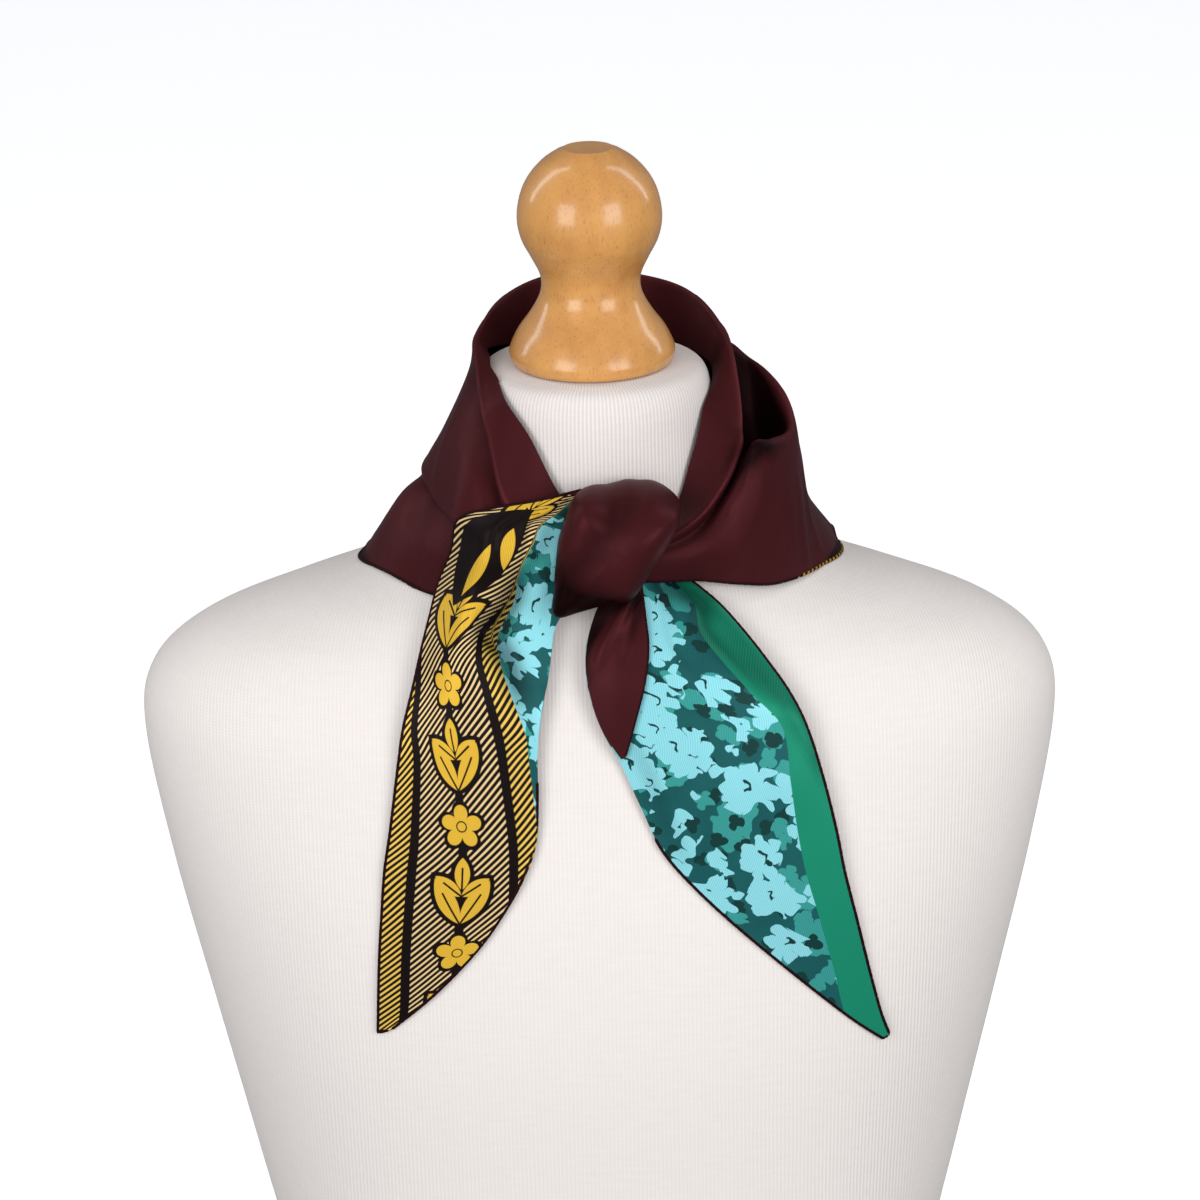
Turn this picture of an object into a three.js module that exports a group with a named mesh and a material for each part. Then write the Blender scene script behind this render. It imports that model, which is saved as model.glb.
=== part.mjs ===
import * as THREE from "three";

// Driving sizes in millimetres: +Z up, -Y the front, origin at the middle of the form's flat base.
const FORM_HEIGHT = 657; // floor to the top of the neck
const FORM_SEGMENTS = 34; // points round each ring of the form
const FORM_STEPS = 2; // rings made between two rows of the form table
const CLOTH = 1.2; // thickness of the scarf's doubled twill
const CLEAR = 1.3; // least distance from the form to the middle of the cloth
const SLOPE_STEP = 1; // height over which the form's slope is taken
const SEAM_TURN = 0.2; // degrees trimmed off each collar stretch where the next one starts

// The form, from its base to the top of its neck: a row for each level.
// z is the height, half the half width, front and back the depths either side of the neck's axis,
// and square the roundness of the outline (2 is an ellipse, more is squarer).
const FORM_ROWS = [
  { z: 0, half: 158, front: 92, back: 90, square: 2.2 },
  { z: 10, half: 165, front: 98, back: 96, square: 2.2 },
  { z: 55, half: 167, front: 101, back: 101, square: 2.2 },
  { z: 115, half: 157, front: 95, back: 96, square: 2.2 },
  { z: 170, half: 149, front: 89, back: 85, square: 2.2 },
  { z: 225, half: 153, front: 90, back: 80, square: 2.2 },
  { z: 280, half: 164, front: 96, back: 84, square: 2.25 },
  { z: 360, half: 181, front: 106, back: 96, square: 2.3 },
  { z: 430, half: 196, front: 106, back: 104, square: 2.3 },
  { z: 490, half: 206, front: 96, back: 104, square: 2.2 },
  { z: 518, half: 202, front: 88, back: 98, square: 2.1 },
  { z: 537, half: 182, front: 80, back: 90, square: 2.0 },
  { z: 551, half: 148, front: 73, back: 82, square: 1.9 },
  { z: 564, half: 108, front: 66, back: 74, square: 1.9 },
  { z: 579, half: 77, front: 60, back: 66, square: 1.95 },
  { z: 599, half: 60, front: 56, back: 60, square: 2 },
  { z: 628, half: 53.5, front: 53, back: 54.5, square: 2 },
  { z: 646, half: 52, front: 51.5, back: 52, square: 2 },
  { z: 654.5, half: 48.5, front: 47.5, back: 48, square: 2 },
  { z: FORM_HEIGHT, half: 40, front: 40, back: 40, square: 2 },
];

// The turned wooden cap: radius and height above the neck's top, from its foot to its flat crown.
const CAP_ROWS = [
  { r: 34, z: 0 },
  { r: 36, z: 2.5 },
  { r: 36.4, z: 6.5 },
  { r: 33, z: 14 },
  { r: 27.3, z: 22 },
  { r: 23.3, z: 29 },
  { r: 21.8, z: 35 },
  { r: 22.6, z: 41 },
  { r: 26.2, z: 48.5 },
  { r: 30.2, z: 56.5 },
  { r: 31.8, z: 65.5 },
  { r: 30.3, z: 75.5 },
  { r: 26.6, z: 83.5 },
  { r: 20.6, z: 90.4 },
  { r: 11.2, z: 96.3 },
];
const CAP_GAP = 0.3; // between the neck's top and the cap's foot
const CAP_STEPS = 2; // outline points made for each row of the cap table
const CAP_SEGMENTS = 26; // facets round the cap

// The scarf round the neck: a section for each turn about the neck's axis, in degrees from the
// front, negative to the left, going round the back to the right. Each place on a section is its
// radius and height: the edge at the neck, the roll line, the dip and the crest of the fall, the
// fold where the upper tier ends, the place under it, the lower tier and the hem.
const COLLAR_STEPS = 3; // sections made between two rows
const COLLAR_PLACES = 16; // steps across each section
const COLLAR_ROWS = [
  { turn: 0, neck: [57.5, 602], roll: [60, 599], dip: [61.5, 595], crest: [62.5, 590],
    fold: [63, 585], under: [63.5, 580], low: [64.5, 575], hem: [66, 570] },
  { turn: -14, neck: [58, 612], roll: [62.5, 607], dip: [65, 600], crest: [66.5, 593],
    fold: [67, 586], under: [67, 580], low: [67.5, 574], hem: [68.5, 567] },
  { turn: -30, neck: [55.8, 638], roll: [72.5, 611.5], dip: [72, 602.5], crest: [76.5, 596.5],
    fold: [79, 590], under: [78, 583], low: [77, 574], hem: [75, 567] },
  { turn: -45, neck: [53.6, 651], roll: [64.5, 639.8], dip: [61, 629.5], crest: [74.5, 616.5],
    fold: [82, 602], under: [79, 597.5], low: [82, 581], hem: [82, 567] },
  { turn: -60, neck: [47.5, 656.5], roll: [56.7, 651], dip: [54.3, 642], crest: [67.5, 626],
    fold: [77, 603], under: [73.5, 600.5], low: [83.5, 583], hem: [88, 566.5] },
  { turn: -75, neck: [46.3, 658.6], roll: [52.2, 659.8], dip: [52.8, 650], crest: [65.5, 629],
    fold: [75, 605], under: [72, 601.5], low: [86, 587], hem: [95.5, 568.5] },
  { turn: -92, neck: [45.6, 659.8], roll: [51.9, 665], dip: [54.5, 651.5], crest: [67, 625.5],
    fold: [76.5, 608], under: [73.5, 604.5], low: [87, 594.5], hem: [104.5, 565.5] },
  { turn: -115, neck: [51, 657], roll: [53.5, 668.5], dip: [58, 650], crest: [65, 630],
    fold: [76, 609], under: [80, 599], low: [91, 582], hem: [107.5, 560] },
  { turn: -140, neck: [56, 652], roll: [60, 674], dip: [65, 655], crest: [72, 633],
    fold: [84, 607], under: [91, 588], low: [103, 563], hem: [118, 528] },
  { turn: -162, neck: [59, 648], roll: [65.5, 677.5], dip: [72, 658], crest: [79, 635],
    fold: [88, 606], under: [93.5, 583], low: [100, 552], hem: [110, 506] },
  { turn: -180, neck: [60, 647], roll: [66, 678], dip: [72, 659], crest: [78, 636],
    fold: [86, 607], under: [91, 583], low: [97, 550], hem: [108, 494] },
  { turn: -198, neck: [59, 648], roll: [65.5, 677.5], dip: [73, 658], crest: [81, 635],
    fold: [90, 606], under: [94.5, 583], low: [100, 552], hem: [110, 506] },
  { turn: -220, neck: [57, 650], roll: [64.5, 674.5], dip: [69, 658], crest: [76, 637],
    fold: [88, 610], under: [95, 589], low: [105, 562], hem: [118, 528] },
  { turn: -245, neck: [54.6, 650.5], roll: [60.5, 667.5], dip: [63, 657], crest: [69, 652.5],
    fold: [77.5, 635], under: [87, 606], low: [99, 583], hem: [116, 560] },
  { turn: -256, neck: [53.9, 650.5], roll: [60.3, 664.8], dip: [62.5, 652], crest: [70, 649],
    fold: [77.5, 646], under: [87, 620], low: [95.5, 590], hem: [112, 562] },
  { turn: -268, neck: [53.1, 650], roll: [61, 660.5], dip: [59.5, 640], crest: [71.5, 624],
    fold: [83.8, 640], under: [90.5, 617], low: [95.5, 589], hem: [108, 564] },
  { turn: -281, neck: [53, 647.5], roll: [63.8, 652], dip: [61, 631], crest: [73.5, 609],
    fold: [88, 629.5], under: [92.5, 607.5], low: [95.5, 588], hem: [102, 566] },
  { turn: -295, neck: [53.6, 643], roll: [70.5, 636], dip: [67, 619], crest: [76.5, 614],
    fold: [85, 630.5], under: [91.5, 611], low: [94.5, 587], hem: [94.5, 567] },
  { turn: -303, neck: [55.2, 634.5], roll: [75, 631], dip: [75, 624.5], crest: [79, 627],
    fold: [82.5, 630], under: [88.5, 612], low: [90, 587], hem: [89.5, 568] },
  { turn: -312, neck: [56.4, 622], roll: [76, 618], dip: [74.5, 610], crest: [80, 612],
    fold: [84, 606], under: [86.3, 592], low: [84.5, 580], hem: [81.5, 571] },
  { turn: -324, neck: [58.5, 603], roll: [74.3, 604], dip: [73.6, 598], crest: [76.6, 594],
    fold: [78.3, 589.5], under: [78, 585], low: [76.5, 580], hem: [74.5, 575] },
  { turn: -340, neck: [61, 596], roll: [70, 594.5], dip: [70.8, 591], crest: [72, 588.3],
    fold: [72.5, 585.5], under: [72.6, 582.5], low: [72.3, 580], hem: [71.8, 577.5] },
  { turn: -352, neck: [62, 594], roll: [67, 592.5], dip: [69, 590.5], crest: [70, 588],
    fold: [70.3, 585.5], under: [70.3, 583], low: [70, 581], hem: [69.7, 579] },
];
const COLLAR_SPLITS = [-127, -233]; // turns where one stretch of the collar meets the next

// The tails: a section for each stage from the knot to the tip, with its places as x, y and z.
// The left one: its outer hem, the ridge of its fold, the inner edge of its border and its inner edge.
const TAIL_STEPS = 2; // sections made between two rows
const TAIL_PLACES = 9; // steps across each section
const TAIL_LEFT_ROWS = [
  { hem: [-5, -67, 620], ridge: [-6.5, -68, 618.5],
    border: [-8, -67, 616.5], inner: [-3, -65, 611] },
  { hem: [-24, -66, 615], ridge: [-21.5, -69, 612.5],
    border: [-17.5, -69.5, 609.5], inner: [-3.5, -69, 602] },
  { hem: [-45.5, -63, 610.5], ridge: [-36, -69.5, 608.5],
    border: [-24.5, -70.5, 605], inner: [-4, -71.5, 594] },
  { hem: [-59.5, -58.5, 604.5], ridge: [-45, -72, 603.5],
    border: [-27.5, -72.5, 598.5], inner: [-5, -73, 584] },
  { hem: [-63, -56, 589.5], ridge: [-48.5, -73, 591.5],
    border: [-33, -75, 588], inner: [-9, -73, 574.5] },
  { hem: [-69, -54.5, 574.5], ridge: [-54, -71, 577],
    border: [-39, -73, 572], inner: [-18, -76.5, 561.5] },
  { hem: [-73, -61, 561.5], ridge: [-59, -76, 563.5],
    border: [-46.5, -74, 557.5], inner: [-20, -81, 552.5] },
  { hem: [-77, -72, 549], ridge: [-60, -83.5, 551],
    border: [-42.5, -80, 547.5], inner: [-22, -86.5, 540.5] },
  { hem: [-81, -80.5, 534.5], ridge: [-59.5, -89.5, 536.5],
    border: [-38, -87, 533.5], inner: [-24, -90.5, 532.5] },
  { hem: [-85.5, -86, 518], ridge: [-59.5, -93.5, 519.5],
    border: [-33, -94, 518], inner: [-26.5, -94.5, 518] },
  { hem: [-88, -89.5, 503], ridge: [-59.5, -96.5, 504.5],
    border: [-31.5, -97.5, 505], inner: [-27.5, -98, 504] },
  { hem: [-92.5, -94, 473], ridge: [-62, -101, 473.5],
    border: [-32, -102.5, 472.5], inner: [-29, -102, 473] },
  { hem: [-95.5, -96, 455], ridge: [-64.5, -103, 454],
    border: [-37.5, -105, 454.5], inner: [-35, -105, 455] },
  { hem: [-97.3, -97.2, 436], ridge: [-69.5, -103.5, 437],
    border: [-46.5, -106, 438], inner: [-44, -106, 438.5] },
  { hem: [-99, -97.7, 416.5], ridge: [-77, -103, 417.5],
    border: [-59, -106, 420], inner: [-56.5, -106, 420.5] },
  { hem: [-100.2, -97.2, 396.5], ridge: [-88, -100.5, 397],
    border: [-78, -103, 398.5], inner: [-75.5, -103.5, 399] },
  { hem: [-101.2, -95.5, 377.5], ridge: [-99.5, -96, 378],
    border: [-97.5, -97, 379], inner: [-95.5, -97.5, 379.5] },
];
// The right one: the fold down its left edge, its middle, the inner edge of its border and its hem.
const TAIL_RIGHT_ROWS = [
  { fold: [3.5, -70.5, 575.5], middle: [20.5, -69, 577],
    border: [33, -61.5, 576], hem: [40.5, -57, 574] },
  { fold: [-2.5, -75.5, 562], middle: [22.5, -75.5, 565.5],
    border: [42, -67, 566.5], hem: [51.5, -62, 565] },
  { fold: [-5.5, -82, 550.5], middle: [22.5, -83.5, 554.5],
    border: [44.5, -76.5, 556.5], hem: [62, -69.5, 555] },
  { fold: [-5, -87.5, 537], middle: [26.5, -89.5, 542.5],
    border: [54, -83.5, 545], hem: [72.5, -77, 543] },
  { fold: [0, -92, 520], middle: [34.5, -94, 527],
    border: [66, -88.5, 532], hem: [82.5, -83, 529.5] },
  { fold: [9, -96, 503], middle: [43, -98, 510],
    border: [79, -91, 517], hem: [90, -88.5, 514.5] },
  { fold: [16.5, -99.5, 486], middle: [49, -101, 490],
    border: [82, -96.5, 494.5], hem: [96.5, -92, 493.5] },
  { fold: [26, -102.5, 465.5], middle: [57.5, -102.5, 467],
    border: [85, -98.5, 471], hem: [102, -94.7, 470] },
  { fold: [40.5, -104.3, 447.5], middle: [67, -103.5, 447.5],
    border: [88.5, -99.5, 452], hem: [105.7, -95.7, 450] },
  { fold: [60, -104.7, 427.5], middle: [79, -103, 428.5],
    border: [94, -99.3, 431], hem: [111, -95, 427] },
  { fold: [85.5, -100.7, 402], middle: [94, -99, 404],
    border: [100.5, -97.2, 405.5], hem: [116.5, -92, 402] },
  { fold: [108, -93.2, 379], middle: [111, -92.5, 380.5],
    border: [114, -91.5, 382], hem: [122, -88.5, 379] },
  { fold: [123, -86.5, 365], middle: [124, -86, 365.3],
    border: [125, -85.7, 365.7], hem: [126.3, -85.3, 366] },
];
// The strip of the right tail that is turned over to its front, from the knot to where it runs out.
const TURNOVER_PLACES = 5; // steps across the strip
const TURNOVER_ROWS = [
  { hem: [19, -73.5, 579.5], middle: [11.5, -74, 578.5], fold: [4, -73, 577.5] },
  { hem: [20.5, -79, 565.5], middle: [9.5, -79.5, 564.5], fold: [-2.3, -77.3, 563] },
  { hem: [21.5, -86.5, 553.5], middle: [8.5, -87, 552.5], fold: [-5.3, -83.8, 551.5] },
  { hem: [19.5, -92.5, 539.5], middle: [7.5, -92.5, 538.5], fold: [-4.7, -89.3, 537.5] },
  { hem: [15, -95.8, 523], middle: [7.5, -95.8, 522], fold: [0.3, -94, 520.5] },
  { hem: [10.5, -98, 507.5], middle: [9.7, -98, 507.2], fold: [8.8, -97.8, 507] },
];

// The knot: a puffed wrap of cloth, its outline clockwise as seen from the front, and its middle.
const KNOT_RINGS = 7; // rings from the outline to the middle
const KNOT_LIP = 0.95; // size of the turned-in lip beside the outline's
const KNOT_MIDDLE = { x: 8, y: -99, z: 600 };
const KNOT_SQUARE = 2.5; // fullness of its bulge (2 is an ellipse, more is flatter in the middle)
// lip is the depth of the edge that turns in behind the outline.
const KNOT_OUTLINE = [
  { x: -6.5, y: -76, z: 621, lip: -69.3 },
  { x: -1.5, y: -73.5, z: 622, lip: -66 },
  { x: 4.5, y: -71.5, z: 621.2, lip: -63 },
  { x: 10, y: -70, z: 621.7, lip: -61 },
  { x: 14, y: -69.5, z: 622.3, lip: -60 },
  { x: 19.5, y: -69.5, z: 621.9, lip: -60 },
  { x: 25.5, y: -69.5, z: 621.5, lip: -60 },
  { x: 31.5, y: -69.5, z: 618.5, lip: -60.5 },
  { x: 35.5, y: -70.5, z: 614.5, lip: -62.5 },
  { x: 35, y: -72, z: 608.5, lip: -65.5 },
  { x: 31.5, y: -74.5, z: 602, lip: -68.5 },
  { x: 27.5, y: -77.5, z: 596, lip: -71 },
  { x: 23, y: -80.5, z: 589.5, lip: -73 },
  { x: 19.5, y: -82.5, z: 584, lip: -75 },
  { x: 14.5, y: -84.5, z: 577.5, lip: -77 },
  { x: 7.5, y: -85, z: 575, lip: -77.5 },
  { x: 0, y: -85, z: 573.5, lip: -77.5 },
  { x: -8.5, y: -84.5, z: 571, lip: -78.5 },
  { x: -18.5, y: -83, z: 569, lip: -78.5 },
  { x: -18, y: -81.5, z: 579.5, lip: -76.5 },
  { x: -17, y: -80, z: 590.5, lip: -73.7 },
  { x: -15.5, y: -79, z: 601.5, lip: -72.7 },
  { x: -12.5, y: -78, z: 610.5, lip: -71.7 },
  { x: -9.5, y: -77, z: 617.5, lip: -70.7 },
];

// A number taken smoothly through a list of numbers, at place u (0 is the first of them).
function blend(values, u) {
  const last = values.length - 1;
  const k = Math.min(Math.floor(u), last - 1);
  const t = u - k;
  const [a, b, c, d] = [k - 1, k, k + 1, k + 2].map((i) => values[Math.max(0, Math.min(last, i))]);
  return b + 0.5 * t * (c - a + t * (2 * a - 5 * b + 4 * c - d + t * (3 * (b - c) + d - a)));
}

// All the columns of a table of numbers, blended at place u.
function blendRows(rows, u) {
  const columns = Object.keys(rows[0]);
  return Object.fromEntries(columns.map((name) => [name, blend(rows.map((row) => row[name]), u)]));
}

// The place in a table where a rising column reaches a value.
function placeOf(values, value) {
  let [low, high] = [0, values.length - 1];
  for (let halving = 0; halving < 24; halving++) {
    const middle = (low + high) / 2;
    if (blend(values, middle) < value) low = middle;
    else high = middle;
  }
  return (low + high) / 2;
}

const formHeights = FORM_ROWS.map((row) => row.z);
const formLevel = (z) => blendRows(FORM_ROWS, placeOf(formHeights, z));

// How far the form's surface lies from its axis at a height, in the direction of x and y.
function formReach(x, y, z) {
  const { half, front, back, square } = formLevel(z);
  const distance = Math.hypot(x, y);
  const wide = Math.abs(x) / distance / half;
  const deep = Math.abs(y) / distance / (y < 0 ? front : back);
  return (wide ** square + deep ** square) ** (-1 / square);
}

// A point of cloth, moved away from the axis where it would come too near the form.
function clearOfForm(point) {
  if (point.z > FORM_HEIGHT - SLOPE_STEP) return point;
  const distance = Math.hypot(point.x, point.y);
  const levels = [-SLOPE_STEP, 0, SLOPE_STEP];
  const [below, here, above] = levels.map((step) => formReach(point.x, point.y, point.z + step));
  const least = here + CLEAR * Math.hypot(1, (below - above) / (2 * SLOPE_STEP));
  if (distance < least) {
    point.x *= least / distance;
    point.y *= least / distance;
  }
  return point;
}

// A closed solid from its points and the triangles between them.
function meshGeometry(points, triangles) {
  const geometry = new THREE.BufferGeometry();
  const numbers = points.flatMap((point) => [point.x, point.y, point.z]);
  geometry.setAttribute("position", new THREE.Float32BufferAttribute(numbers, 3));
  geometry.setIndex(triangles);
  geometry.computeVertexNormals();
  return geometry;
}

// A solid whose surface runs through closed rings of points, from the lowest ring to the highest.
function ringSolid(rings) {
  const count = rings[0].length;
  const points = rings.flat();
  const triangles = [];
  for (let i = 0; i < rings.length - 1; i++) {
    for (let j = 0; j < count; j++) {
      const here = i * count + j;
      const next = i * count + ((j + 1) % count);
      triangles.push(here, next, next + count, here, next + count, here + count);
    }
  }
  const foot = points.push(new THREE.Vector3(0, 0, rings[0][0].z)) - 1;
  const head = points.push(new THREE.Vector3(0, 0, rings.at(-1)[0].z)) - 1;
  const top = (rings.length - 1) * count;
  for (let j = 0; j < count; j++) {
    const next = (j + 1) % count;
    triangles.push(foot, next, j, head, top + j, top + next);
  }
  return meshGeometry(points, triangles);
}

// A wall of cloth over a grid of points: a skin on each side of it, closed round the edge.
function wallSolid(grid) {
  const rows = grid.length;
  const columns = grid[0].length;
  const at = (i, j) => grid[Math.max(0, Math.min(rows - 1, i))][Math.max(0, Math.min(columns - 1, j))];
  const skins = [[], []];
  for (let i = 0; i < rows; i++) {
    for (let j = 0; j < columns; j++) {
      const along = at(i + 1, j).clone().sub(at(i - 1, j));
      const across = at(i, j + 1).clone().sub(at(i, j - 1));
      const out = along.cross(across).setLength(CLOTH / 2);
      skins[0].push(at(i, j).clone().add(out));
      skins[1].push(at(i, j).clone().sub(out));
    }
  }
  const under = rows * columns;
  const triangles = [];
  for (let i = 0; i < rows - 1; i++) {
    for (let j = 0; j < columns - 1; j++) {
      const a = i * columns + j;
      const [b, c, d] = [a + columns, a + columns + 1, a + 1];
      triangles.push(a, b, c, a, c, d, under + a, under + c, under + b, under + a, under + d, under + c);
    }
  }
  const rim = [];
  for (let i = 0; i < rows - 1; i++) rim.push(i * columns);
  for (let j = 0; j < columns - 1; j++) rim.push((rows - 1) * columns + j);
  for (let i = rows - 1; i > 0; i--) rim.push(i * columns + columns - 1);
  for (let j = columns - 1; j > 0; j--) rim.push(j);
  rim.forEach((a, k) => {
    const b = rim[(k + 1) % rim.length];
    triangles.push(a, under + a, under + b, a, under + b, b);
  });
  return meshGeometry(skins.flat(), triangles);
}

function formRing({ z, half, front, back, square }) {
  const ring = [];
  for (let i = 0; i < FORM_SEGMENTS; i++) {
    const angle = (i / FORM_SEGMENTS) * 2 * Math.PI;
    const [cosine, sine] = [Math.cos(angle), Math.sin(angle)];
    const depth = sine < 0 ? front : back;
    const x = half * Math.sign(cosine) * Math.abs(cosine) ** (2 / square);
    const y = depth * Math.sign(sine) * Math.abs(sine) ** (2 / square);
    ring.push(new THREE.Vector3(x, y, z));
  }
  return ring;
}

function dressForm() {
  const rings = [];
  const count = (FORM_ROWS.length - 1) * FORM_STEPS;
  for (let i = 0; i <= count; i++) rings.push(formRing(blendRows(FORM_ROWS, i / FORM_STEPS)));
  return ringSolid(rings);
}

function neckCap() {
  const outline = [new THREE.Vector2(0, 0)];
  const count = (CAP_ROWS.length - 1) * CAP_STEPS;
  for (let i = 0; i <= count; i++) {
    const { r, z } = blendRows(CAP_ROWS, i / CAP_STEPS);
    outline.push(new THREE.Vector2(r, z));
  }
  outline.push(new THREE.Vector2(0, CAP_ROWS.at(-1).z));
  return new THREE.LatheGeometry(outline, CAP_SEGMENTS).rotateX(Math.PI / 2);
}

const collarTurns = COLLAR_ROWS.map((row) => -row.turn);
const [collarStart, collarEnd] = [COLLAR_ROWS[0].turn, COLLAR_ROWS.at(-1).turn];
const collarPlaces = Object.keys(COLLAR_ROWS[0]).filter((name) => name !== "turn");

// The points across the collar at one turn about the neck.
function collarSection(turn) {
  const u = placeOf(collarTurns, -turn);
  const angle = THREE.MathUtils.degToRad(turn);
  const radii = collarPlaces.map((name) => blend(COLLAR_ROWS.map((row) => row[name][0]), u));
  const heights = collarPlaces.map((name) => blend(COLLAR_ROWS.map((row) => row[name][1]), u));
  const section = [];
  for (let j = 0; j <= COLLAR_PLACES; j++) {
    const v = (j / COLLAR_PLACES) * (collarPlaces.length - 1);
    const [r, z] = [blend(radii, v), blend(heights, v)];
    section.push(clearOfForm(new THREE.Vector3(r * Math.sin(angle), -r * Math.cos(angle), z)));
  }
  return section;
}

// One stretch of the collar, between two turns.
function collarStretch(from, to) {
  const share = (from - to) / (collarStart - collarEnd);
  const count = Math.round(share * COLLAR_STEPS * (COLLAR_ROWS.length - 1));
  const grid = [];
  for (let i = 0; i <= count; i++) grid.push(collarSection(from + ((to - from) * i) / count));
  return wallSolid(grid);
}

// A grid of points over a table of sections, each with its named places.
function sheetGrid(rows, steps, places) {
  const names = Object.keys(rows[0]);
  const count = (rows.length - 1) * steps;
  const grid = [];
  for (let i = 0; i <= count; i++) {
    const placeAt = (name) => [0, 1, 2].map((k) => blend(rows.map((row) => row[name][k]), i / steps));
    const section = names.map(placeAt);
    const points = [];
    for (let j = 0; j <= places; j++) {
      const v = (j / places) * (names.length - 1);
      const [x, y, z] = [0, 1, 2].map((k) => blend(section.map((place) => place[k]), v));
      points.push(clearOfForm(new THREE.Vector3(x, y, z)));
    }
    grid.push(points);
  }
  return grid;
}

// A ring of the knot's outline, drawn in towards its middle to a share of its size and by a distance,
// with its depth taken from a function of the outline's point.
function knotRing(share, inset, depthAt) {
  return KNOT_OUTLINE.map((point) => {
    const [x, z] = [point.x - KNOT_MIDDLE.x, point.z - KNOT_MIDDLE.z];
    const scale = share * (1 - inset / Math.hypot(x, z));
    return new THREE.Vector3(KNOT_MIDDLE.x + x * scale, depthAt(point), KNOT_MIDDLE.z + z * scale);
  });
}

// One skin of the knot: its lip, its outline, the rings up its bulge and its middle point.
function knotSkin(inset) {
  const points = knotRing(KNOT_LIP, inset, (point) => point.lip);
  for (let i = 0; i < KNOT_RINGS; i++) {
    const angle = ((i / KNOT_RINGS) * Math.PI) / 2;
    const [reach, rise] = [Math.cos(angle), Math.sin(angle)].map((value) => value ** (2 / KNOT_SQUARE));
    const depthAt = (point) => point.y + (KNOT_MIDDLE.y + inset - point.y) * rise;
    points.push(...knotRing(reach, inset, depthAt));
  }
  points.push(new THREE.Vector3(KNOT_MIDDLE.x, KNOT_MIDDLE.y + inset, KNOT_MIDDLE.z));
  return points;
}

// The knot's wrap: an outer and an inner skin, joined round the lip and open behind.
function knotWrap() {
  const count = KNOT_OUTLINE.length;
  const skins = [knotSkin(0), knotSkin(CLOTH)];
  const inner = skins[0].length;
  const middle = inner - 1;
  const triangles = [];
  for (let j = 0; j < count; j++) {
    const next = (j + 1) % count;
    const strip = [];
    for (let i = 0; i < KNOT_RINGS; i++) {
      const [below, above] = [i * count, (i + 1) * count];
      strip.push([below + j, above + j, above + next], [below + j, above + next, below + next]);
    }
    strip.push([KNOT_RINGS * count + j, middle, KNOT_RINGS * count + next]);
    for (const [a, b, c] of strip) triangles.push(a, b, c, inner + a, inner + c, inner + b);
    triangles.push(j, next, inner + next, j, inner + next, inner + j);
  }
  return meshGeometry(skins.flat(), triangles);
}

const jersey = new THREE.MeshStandardMaterial({ color: 0xe6e1de, roughness: 0.9, metalness: 0 });
const wood = new THREE.MeshStandardMaterial({ color: 0xd99a52, roughness: 0.3, metalness: 0 });
const maroonTwill = new THREE.MeshStandardMaterial({ color: 0x4c2224, roughness: 0.6, metalness: 0 });
const stripedTwill = new THREE.MeshStandardMaterial({ color: 0xa8873f, roughness: 0.6, metalness: 0 });
const tealTwill = new THREE.MeshStandardMaterial({ color: 0x28968c, roughness: 0.6, metalness: 0 });

function piece(name, geometry, material) {
  const mesh = new THREE.Mesh(geometry, material);
  mesh.name = name;
  return mesh;
}

const part = new THREE.Group();
part.add(piece("dress_form", dressForm(), jersey));
const cap = piece("neck_cap", neckCap(), wood);
cap.position.z = FORM_HEIGHT + CAP_GAP;
part.add(cap);

const [leftSplit, rightSplit] = COLLAR_SPLITS;
part.add(piece("collar_left", collarStretch(collarStart, leftSplit + SEAM_TURN), maroonTwill));
part.add(piece("collar_back", collarStretch(leftSplit - SEAM_TURN, rightSplit + SEAM_TURN), maroonTwill));
part.add(piece("collar_right", collarStretch(rightSplit - SEAM_TURN, collarEnd), maroonTwill));
part.add(piece("knot_wrap", knotWrap(), maroonTwill));
part.add(piece("tail_left", wallSolid(sheetGrid(TAIL_LEFT_ROWS, TAIL_STEPS, TAIL_PLACES)), stripedTwill));
part.add(piece("tail_right", wallSolid(sheetGrid(TAIL_RIGHT_ROWS, TAIL_STEPS, TAIL_PLACES)), tealTwill));
const turnover = wallSolid(sheetGrid(TURNOVER_ROWS, TAIL_STEPS, TURNOVER_PLACES));
part.add(piece("tail_right_turnover", turnover, maroonTwill));

export default part;
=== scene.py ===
"""A triangle scarf of printed silk twill, knotted round a jersey-covered dress form with a wooden cap.

Run as a script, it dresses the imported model: each operator makes one piece of the scarf or of the form
from its tables, in the model's own frame, and the stage operator adds the floor, lights and camera.
"""

import math

import bmesh
import bpy
import numpy as np
from mathutils import Matrix, Vector


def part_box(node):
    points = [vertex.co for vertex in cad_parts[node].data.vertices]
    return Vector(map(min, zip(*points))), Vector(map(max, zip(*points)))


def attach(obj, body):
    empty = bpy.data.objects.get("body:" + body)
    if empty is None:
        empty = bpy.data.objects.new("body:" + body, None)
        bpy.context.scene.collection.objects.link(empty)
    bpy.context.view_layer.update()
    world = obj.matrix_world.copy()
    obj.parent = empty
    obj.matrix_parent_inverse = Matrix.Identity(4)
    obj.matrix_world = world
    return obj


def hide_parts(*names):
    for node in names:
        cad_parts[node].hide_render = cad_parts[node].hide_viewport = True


bl_info = {
    "name": "Triangle scarf on a dress form",
    "version": (1, 0, 0),
    "blender": (4, 5, 0),
    "location": "View3D > Sidebar > Scarf",
    "description": "Makes a knotted silk-twill triangle scarf and the dress form that it rests on",
    "category": "Add Mesh",
}

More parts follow.
